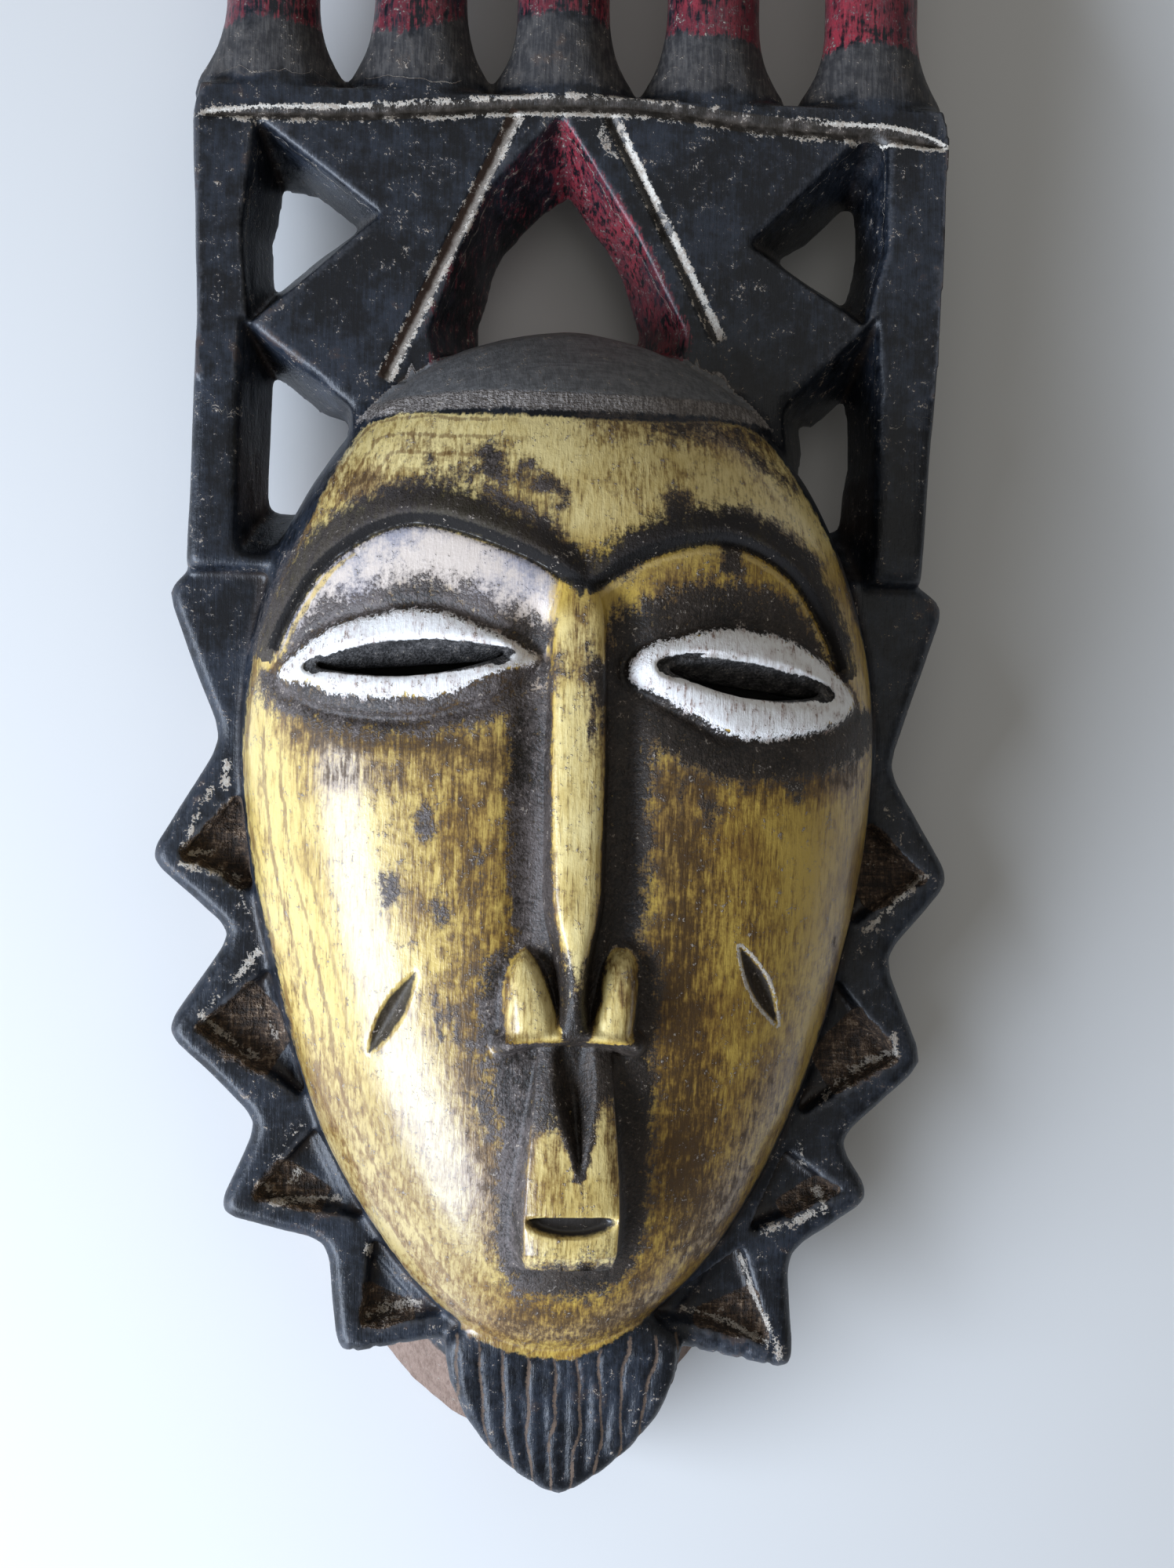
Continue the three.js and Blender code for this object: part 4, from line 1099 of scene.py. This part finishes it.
def total(*values, **shares):
    """A sum of numbers and of shares of the wood's patterns."""
    parts = [*values] + [wood[k] if v == 1 else times(wood[k], v) for k, v in shares.items()]
    return maths("ADD", *parts) if len(parts) > 1 else parts[0]


def rise(low, high, *values, **shares):
    """0 where such a sum is below low, 1 above high and a smooth rise between."""
    inputs = {0: total(*values, **shares), 1: low, 2: high, 3: 0.0, 4: 1.0}
    return put("ShaderNodeMapRange", inputs, interpolation_type="SMOOTHSTEP")


def coat(share, under, over, most=1):
    """One colour laid over another where the share says."""
    share = share if most == 1 else times(share, most)
    under, over = ((*c, 1) if isinstance(c, tuple) else c for c in (under, over))
    return put("ShaderNodeMix", {0: share, 6: under, 7: over}, out=2, data_type="RGBA")


def mottled(low, high, one, other, *values, **shares):
    """A colour that goes from one to the other as such a sum rises."""
    return coat(rise(low, high, *values, **shares), one, other)


def fade(share, a, b):
    """A number that goes from a to b as the share goes from 0 to 1."""
    return put("ShaderNodeMix", {0: share, 2: a, 3: b})


def field(name):
    """The number kept at the corners under this name."""
    return put("ShaderNodeAttribute", {}, out=2, attribute_name=name)


def shade(inputs):
    """End the finish with a shader that has these inputs."""
    output = tree.nodes.new("ShaderNodeOutputMaterial")
    tree.links.new(put("ShaderNodeBsdfPrincipled", inputs), output.inputs["Surface"])


def near(distance, half):
    """How far a distance is within half a width of 0."""
    return maths("SUBTRACT", half, maths("ABSOLUTE", distance))


def line(distance, half, strength):
    """A thin broken line: 1 within half of the distance 0."""
    ragged = rise(-0.05, 0.2, near(distance, half), fine=2.4, middle=1.9)
    return times(ragged, rise(0.46, 0.7, strength, middle=2.6, fine=1.5))


# %% [markdown]
# The patterns sit in the block itself, in millimetres, and go from about -0.2
# to 0.2. Brush strokes and scratches run down the face, so some of them are
# drawn out along Y.

# %% Patterns in the wood
paint, tree = new_finish("painted_and_worn_wood")
spot = put("ShaderNodeTexCoord", {}, out=3)
place, drawn, hair_fine = [
    put("ShaderNodeMapping", {0: spot, 3: scale})
    for scale in [(1000, 1000, 1000), (1000, 180, 450), (1000, 60, 260)]
]
across = put("ShaderNodeMapping", {0: spot, 2: (0, 0, 0.5), 3: (70, 1000, 1000)})
for name, vector, scale, detail, rough in [
    ("fine", place, 1.5, 2, 0.65), ("middle", place, 0.34, 3.5, 0.62),
    ("broad", place, 0.055, 2.5, 0.5), ("strokes", drawn, 1, 3, 0.68),
    ("scratch", hair_fine, 1.7, 2, 0.7), ("nicks", across, 1.3, 2, 0.7),
    ("pores", hair_fine, 4.5, 1, 0.5), ("grains", place, 2.6, 1, 0.6),
]:
    cloud = put("ShaderNodeTexNoise", {0: vector, 2: scale, 3: detail, 4: rough})
    wood[name] = maths("SUBTRACT", cloud, 0.5)
east = put("ShaderNodeSeparateXYZ", {0: place})
print("patterns:", len(tree.nodes), "nodes")

# %% [markdown]
# The stain is a blue-black that has gone grey with dust and brown in the
# hollows. It is rubbed paler on every edge, and tiny pale specks lie in it.

# %% Black stained wood
bulge = field("bulge")
edge = rise(0.13, 0.4, bulge, middle=0.3, fine=0.2)
crevice = rise(0.1, 0.4, times(bulge, -1), middle=0.3)
dusty = rise(0.45, 0.95, field("dust"), middle=0.9, broad=0.9)
rust = rise(0.17, 0.34, times(edge, 0.14), broad=1, middle=0.7)
colour = mottled(-0.2, 0.26, (0.004, 0.0052, 0.008), (0.02, 0.026, 0.038),
                 middle=1, broad=1.1, scratch=0.5)
colour = coat(rise(0.22, 0.3, grains=1), colour, (0.12, 0.14, 0.16), 0.26)
film = mottled(-0.2, 0.3, (0.034, 0.032, 0.033), (0.088, 0.081, 0.076), strokes=1, middle=1, scratch=1)
colour = coat(dusty, colour, film, 0.85)
colour = coat(crevice, colour, (0.036, 0.024, 0.016), 0.6)
colour = coat(edge, colour, (0.088, 0.092, 0.104), 0.6)
colour = coat(rust, colour, (0.075, 0.04, 0.024), 0.45)
gloss = total(0.4, times(dusty, 0.26), middle=0.07, scratch=0.12)
print("stain:", len(tree.nodes), "nodes")

# %% [markdown]
# The hair is painted a lighter grey than the stain, which is painted sheen, and
# its lower edge is a rough chamfer painted paler still, which is painted light
# on a face turned to the window. A thin painted highlight runs along the top
# rim of the cap.

# %% Hair
hair = field("hair")
on_hair = rise(2.6, 3.6, hair, middle=1.2)
on_chamfer = times(rise(-1.4, -0.4, hair, fine=1.5, middle=2.5), maths("SUBTRACT", 1, on_hair))
rim_light = rise(0.5, 0.8, field("cap_rim"), fine=0.5, middle=0.4)
# Painted sheen: the lighter grey of the hair cap.
tone = mottled(-0.3, 0.35, (0.108, 0.109, 0.112), (0.2, 0.2, 0.205), strokes=1, middle=1, nicks=1)
colour = coat(on_hair, colour, tone, 0.9)
tone = mottled(-0.15, 0.25, (0.11, 0.095, 0.086), (0.3, 0.27, 0.25), scratch=1, fine=1)
colour = coat(on_chamfer, colour, tone)
colour = coat(rim_light, colour, (0.17, 0.16, 0.155), 0.6)
gloss = fade(largest(on_hair, on_chamfer), gloss, 0.55)
print("with the hair:", len(tree.nodes), "nodes")

# %% [markdown]
# Red on the posts and in the middle hole has rubbed through to the stain in
# patches. Less red is kept on the left wall of the hole and on the left posts,
# the sides turned from the light, which is painted shade, so the wall of the
# hole that faces the light is the brightest.

# %% Red
shaded_side = rise(1.0, -2.0, field("hole_side"))
kept = rise(-0.18, 0.18, times(shaded_side, -0.3), 0.1, strokes=1, scratch=1, middle=1.2)
on_red = times(rise(-0.3, 0.8, field("red"), middle=6, strokes=5, fine=2), kept)
tone = mottled(-0.22, 0.16, (0.29, 0.03, 0.046), (0.12, 0.02, 0.03), broad=1, middle=1, scratch=1)
tone = coat(rise(0.06, 0.26, fine=1, middle=1), tone, (0.15, 0.085, 0.09))
colour = coat(on_red, colour, tone)
gloss = fade(on_red, gloss, 0.36)
print("with the red:", len(tree.nodes), "nodes")

# %% [markdown]
# The ochre is laid over the stain with a brush. It is worn through in places,
# goes brown where hands and smoke have polished it and round the soot and
# painted shade of the hollows, and old year rings show through it as fine
# lines along the left edge of the face. It is painted paler on the nose, the
# mouth block and the forehead, partly rubbed wear and partly painted sheen, and
# paler on the left, which is painted light.

# %% Ochre
ochre, pale, dull = field("ochre"), field("pale"), field("dull")
on_ochre = rise(-0.3, 0.5, ochre, middle=2.6, fine=1, strokes=1.8)
# The pale share is partly rubbed wear and partly painted sheen and painted light.
fresh = coat(dull, coat(pale, (0.58, 0.395, 0.08), (0.86, 0.71, 0.33)), (0.5, 0.385, 0.165))
aged = coat(dull, coat(pale, (0.4, 0.25, 0.042), (0.64, 0.48, 0.165)), (0.31, 0.215, 0.08))
yellow = mottled(-0.3, 0.3, fresh, aged, strokes=1, broad=1.3, scratch=0.5)
grime = rise(-0.1, 0.55, times(pale, -0.14), strokes=1, scratch=0.8, broad=1.2, middle=0.5)
yellow = coat(grime, yellow, (0.235, 0.13, 0.026), 0.75)
cracks = rise(0.2, 0.36, scratch=1.2, pores=0.9, broad=0.5)
yellow = coat(cracks, yellow, (0.07, 0.036, 0.013), 0.6)
rings = maths("SINE", total(times(ochre, 1.55), broad=7, middle=1))
ring_side = times(rise(-19, -9, times(ochre, -1)), rise(4, 24, times(east, -1)))
yellow = coat(times(rise(0.62, 1.0, rings, strokes=1.6), ring_side), yellow, (0.16, 0.08, 0.028), 0.65)
worn_and_shaded = total(field("umber"), strokes=1.35, scratch=0.8, middle=1.1, fine=0.4, broad=0.5)
thick_umber = rise(0.5, 1.02, worn_and_shaded)
yellow = coat(rise(0.02, 0.8, worn_and_shaded), yellow, (0.185, 0.092, 0.018), 0.85)
yellow = coat(thick_umber, yellow, (0.062, 0.032, 0.011), 0.9)
dots = rise(0.26, 0.36, fine=1, middle=0.8, pores=0.5)
yellow = coat(dots, yellow, (0.05, 0.028, 0.013), 0.6)
colour = coat(on_ochre, colour, yellow)
gloss = fade(on_ochre, gloss, total(0.33, times(thick_umber, 0.14), strokes=0.3))
polish = times(on_ochre, rise(1.0, 0.2, thick_umber))
print("with the ochre:", len(tree.nodes), "nodes")

# %% [markdown]
# A pale painted highlight lies in the hollow over the left eye, and a line of
# painted highlight, a brighter ochre, along the lip of each brow. The brows and
# the soot with its painted shade lie over them.

# %% Painted highlights, brows, soot and painted shade
chalk, smoke = field("chalk"), field("smoke")
on_chalk = rise(-0.05, 0.7, chalk, strokes=0.3, middle=0.8, broad=1, fine=0.3)
on_chalk = times(on_chalk, rise(0.02, 0.25, chalk))
tone = mottled(-0.18, 0.3, (0.66, 0.575, 0.525), (0.32, 0.32, 0.385), middle=1, broad=1.6, fine=0.4)
colour = coat(on_chalk, colour, tone, 0.92)
# Painted highlight: a brighter ochre line along the lower edge of each brow.
lip = rise(0.45, 0.85, field("rubbed_lip"), middle=1, strokes=0.8)
colour = coat(lip, colour, (0.66, 0.47, 0.15), 0.8)
# The soot with its painted shade goes dark brown where it is thin and black where it is thick.
smoked = total(smoke, middle=1.8, fine=1.4, strokes=0.6)
thin_smoke = times(rise(0.0, 0.75, smoked), rise(-0.2, 0.25, smoke))
colour = coat(thin_smoke, colour, (0.066, 0.05, 0.04), 0.72)
on_brow = rise(-0.8, 1.2, field("brow_black"), middle=4, fine=2.4, strokes=3)
on_black = largest(on_brow, rise(0.46, 0.78, smoked))
black_of_soot_and_shade = mottled(-0.22, 0.26, (0.009, 0.007, 0.006), (0.046, 0.034, 0.026), middle=1, fine=1, broad=0.8)
# Painted sheen: a paler grey over the black on the left, the side toward the window.
painted_left_sheen = times(rise(-0.25, 0.28, fine=1, middle=1, broad=1), rise(1, 12, times(east, -1)))
black_of_soot_and_shade = coat(painted_left_sheen, black_of_soot_and_shade, (0.185, 0.155, 0.15), 0.55)
black_of_soot_and_shade = coat(on_brow, black_of_soot_and_shade, (0.013, 0.011, 0.012), 0.75)
colour = coat(on_black, colour, black_of_soot_and_shade, 0.96)
sharp = rise(0.2, 0.55, field("brow_edge"), fine=0.8, middle=0.5)
colour = coat(sharp, colour, (0.006, 0.005, 0.005), 0.95)
gloss = fade(on_black, gloss, total(0.52, middle=0.2))
gloss = fade(sharp, fade(on_brow, gloss, 0.74), 0.95)
print("with the smoke:", len(tree.nodes), "nodes")

# %% [markdown]
# White is thick on the eyes and shows the bristles of the brush. On the crest
# it sits in broken lines, and the cuts between them are brown and dusty.

# %% White on the eyes
on_eye = rise(0.1, 0.75, field("eye_white"), middle=4.4, fine=2.6, strokes=3.4)
white = mottled(-0.15, 0.3, (0.9, 0.885, 0.865), (0.66, 0.6, 0.57), middle=1, strokes=1)
rubbed = rise(0.1, 0.45, strokes=1, scratch=1.2, middle=0.9, fine=0.6)
colour = coat(on_eye, colour, coat(rubbed, white, (0.3, 0.19, 0.15)))
gloss = fade(on_eye, gloss, 0.42)
print("with the eyes:", len(tree.nodes), "nodes")

# %% [markdown]
# Each cut of the crest is brown inside, and its lines run along both edges. In
# the two side cuts the wall turned to the light is painted lighter and the other
# darker: painted light and painted shade.

# %% White lines on the crest, the scars and the teeth
top, top_wide = field("top_cut"), field("top_wide")
tone = mottled(-0.1, 0.2, (0.03, 0.024, 0.018), (0.12, 0.1, 0.085), middle=1)
colour = coat(rise(-0.2, 0.2, near(top, top_wide)), colour, tone, 0.8)
lines = largest(line(maths("SUBTRACT", top, top_wide), 0.58, field("upper_white")),
                line(total(top, top_wide), 0.55, field("lower_white")))
# Painted light and painted shade: each side cut goes from a dark tone on one wall to a light tone on the
# wall turned to the light.
for name, half, dim, lit, turn, marks in [
    ("left_cut", 1.65, (0.04, 0.02, 0.012), (0.27, 0.235, 0.2), 0.0,
     [(1.5, 0.6, 0.62), (-1.6, 0.26, 0.46)]),
    ("right_cut", 1.5, (0.02, 0.016, 0.013), (0.1, 0.085, 0.07), 0.6,
     [(1.15, 0.85, field("right_white")), (-1.5, 0.22, 0.45)]),
]:
    off, share = field(name), field(name + "_share")
    in_cut = times(rise(-0.01, 0.0, share), rise(1.01, 1.0, share), rise(-0.1, 0.2, near(off, half)))
    colour = coat(in_cut, colour, mottled(turn - 0.5, turn + 0.6, dim, lit, off, middle=2), 0.9)
    ends = times(rise(-0.02, 0.01, share), rise(1.02, 0.99, share))
    for where, wide, strength in marks:
        mark = line(maths("SUBTRACT", off, where), wide, strength)
        lines = largest(lines, times(mark, ends))
on_scar = rise(0.0, 0.5, field("scar"), middle=1.2)
tone = mottled(-0.1, 0.2, (0.016, 0.012, 0.01), (0.05, 0.04, 0.033), fine=1)
colour = coat(on_scar, colour, tone, 0.95)
lines = largest(lines, rise(0.25, 0.5, field("scar_white"), fine=1.2, middle=1.2),
                times(rise(0.52, 0.86, field("cream"), fine=2.6, middle=2.8), 0.9))
gloss = fade(largest(lines, on_scar), gloss, 0.6)
print("so far:", len(tree.nodes), "nodes")

# %% [markdown]
# The way through each lid is dark and rough, and so is the slit of the mouth.
# The beard is a glossy black with a thin brown line on the floor of each
# furrow, where the gouge took the stain away again.

# %% Slits, lips and beard
on_slit = rise(-0.1, 0.35, field("slit"), fine=0.9)
tone = mottled(-0.2, 0.3, (0.018, 0.017, 0.017), (0.115, 0.108, 0.105), fine=1, middle=1)
colour = coat(on_slit, colour, tone)
on_lips = rise(0.0, 0.25, field("lips"), middle=0.5)
colour = coat(on_lips, colour, (0.018, 0.014, 0.012))
gloss = fade(largest(on_slit, on_lips), gloss, 0.75)
off_comb = times(maths("PINGPONG", field("comb"), 0.5), COMB_STEP)
on_comb = times(rise(0.48, 0.16, off_comb, fine=0.9, middle=0.8), field("beard"))
tone = mottled(-0.1, 0.2, (0.15, 0.1, 0.068), (0.06, 0.038, 0.025), middle=1)
colour = coat(on_comb, colour, tone, 0.8)
gloss = fade(on_comb, gloss, 0.7)
print("with the beard:", len(tree.nodes), "nodes")

# %% [markdown]
# The pockets are chopped into wood that took little stain, with splashes of
# white. The shell behind and the hollow are bare wood, gone pinkish brown.

# %% Pockets, bare wood and the white lines
in_pocket = rise(0.3, 0.6, field("pocket"), middle=0.7)
fibres = total(strokes=1, nicks=1, middle=0.8, fine=0.5)
chip = mottled(-0.25, 0.25, (0.024, 0.017, 0.013), (0.1, 0.062, 0.038), fibres)
colour = coat(in_pocket, colour, coat(rise(0.1, 0.34, fibres), chip, (0.27, 0.19, 0.125)))
on_bare = rise(-0.6, 0.9, field("bare"), middle=3, strokes=1.5)
bare = mottled(-0.2, 0.3, (0.235, 0.162, 0.125), (0.14, 0.088, 0.064), strokes=1)
colour = coat(on_bare, colour, coat(rise(0.1, 0.5, scratch=1, middle=1), bare, (0.07, 0.044, 0.032)))
gloss = fade(on_bare, fade(in_pocket, gloss, 0.75), 0.72)
chalky = mottled(-0.2, 0.25, (0.76, 0.72, 0.64), (0.4, 0.34, 0.28), middle=1, fine=1)
colour = coat(lines, colour, chalky, 0.95)
print("with bare wood:", len(tree.nodes), "nodes")

# %% [markdown]
# The bump adds what is too fine for the skin: the film of paint, the bristle
# marks, open pores and the rough floor of the pockets. Heights are in
# millimetres, so the bump's distance is one millimetre.

# %% Relief and shader
height = total(
    times(on_eye, 0.1), times(on_ochre, 0.03), times(on_black, 0.05), times(lines, 0.14),
    times(in_pocket, total(middle=1.2, fine=0.8, strokes=0.8)),
    times(on_bare, total(strokes=0.35, scratch=0.2)),
    times(on_black, total(middle=0.25, fine=0.18)),
    times(largest(on_slit, on_chamfer), total(fine=0.6, nicks=0.5)),
    strokes=0.12, scratch=0.06, pores=0.04, fine=0.06, middle=0.18,
)
uncovered = maths("SUBTRACT", 1, largest(on_black, on_eye, on_chalk, on_scar))
shade({
    "Base Color": colour, "Roughness": gloss, "Specular IOR Level": 0.42,
    "Normal": put("ShaderNodeBump", {"Strength": 0.9, "Distance": MM, "Height": height}),
    "Coat Weight": times(polish, uncovered, 0.6), "Coat Roughness": 0.2,
})
mask.data.materials.clear()
mask.data.materials.append(paint)
print("finish:", len(tree.nodes), "nodes")

# %% [markdown]
# ## In the place of the block
#
# The piece rides on the frame and stands for the block, which isn't shown.

# %% Put the piece on the frame
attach(mask, "root")
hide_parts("mask")

# %% [markdown]
# ## Floor, light and camera
#
# The mask lies on a plain pale floor. One large soft light stands low beyond
# its chin on the left, like a window, and gives the long highlight down the
# cheek. A weaker one fills from above.

# %% Floor
FLOOR_SIZE = 3.0
FLOOR_TONE = (0.74, 0.74, 0.73)


def in_scene(name, data):
    """A new object with this data, in the scene."""
    piece = bpy.data.objects.new(name, data)
    bpy.context.scene.collection.objects.link(piece)
    return piece


floor = in_scene("floor", bpy.data.meshes.new("floor"))
work = bmesh.new()
bmesh.ops.create_grid(work, x_segments=1, y_segments=1, size=FLOOR_SIZE)
bmesh.ops.translate(work, verts=work.verts, vec=(0, 0, -0.1 * MM))
work.to_mesh(floor.data)
work.free()
floor_paint, tree = new_finish("pale_floor")
mottle = put("ShaderNodeTexNoise", {0: put("ShaderNodeTexCoord", {}, out=3), 2: 3.0})
shade({"Base Color": coat(mottle, tuple(c * 0.97 for c in FLOOR_TONE), FLOOR_TONE), "Roughness": 0.6})
floor.data.materials.append(floor_paint)

# %% Lights


def soft_light(name, place, aim, size, power, tint):
    """A soft light, as wide and high as given, that looks at a point."""
    lamp = bpy.data.lights.new(name, "AREA")
    lamp.shape = "RECTANGLE"
    lamp.size, lamp.size_y = size
    lamp.energy = power
    lamp.color = tint
    piece = in_scene(name, lamp)
    piece.location = place
    piece.rotation_euler = (Vector(aim) - Vector(place)).to_track_quat("-Z", "Y").to_euler()


soft_light("window", (-0.77, -0.5, 0.51), (0, 0, 0.03), (1.1, 0.42), 24.5, (0.74, 0.84, 1.0))
soft_light("ceiling", (0.2, 0.5, 1.6), (0, 0, 0), (1.8, 1.8), 3.8, (1.0, 0.99, 0.96))
world = bpy.data.worlds.new("room")
bpy.context.scene.world = world
world.use_nodes = True
world.node_tree.nodes["Background"].inputs["Color"].default_value = (1.0, 0.98, 0.93, 1)
world.node_tree.nodes["Background"].inputs["Strength"].default_value = 0.15

# %% [markdown]
# The camera's place was worked out from the eyes, the border and the crest:
# it stands 560 mm from the mask and looks down on it turned by 5 degrees.

# %% Camera
TURN, ROLL = math.radians(5), math.radians(1)
AWAY = 0.56
AIM = (Vector((6.5, 0, 36)) + Vector(MIDDLE)) * MM
camera = in_scene("camera", bpy.data.cameras.new("camera"))
camera.data.lens = 56
camera.data.sensor_width = 36
camera.data.clip_start = 0.01
turned = Matrix.Rotation(-TURN, 4, "Y") @ Matrix.Rotation(ROLL, 4, "Z")
camera.matrix_world = Matrix.Translation(AIM) @ turned @ Matrix.Translation((0, 0, AWAY))
bpy.context.scene.camera = camera
bpy.context.scene.view_settings.view_transform = "Standard"
print("camera at", [round(v, 4) for v in camera.location])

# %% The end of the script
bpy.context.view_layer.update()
print("whole script:", round(time.time() - started, 1), "s")
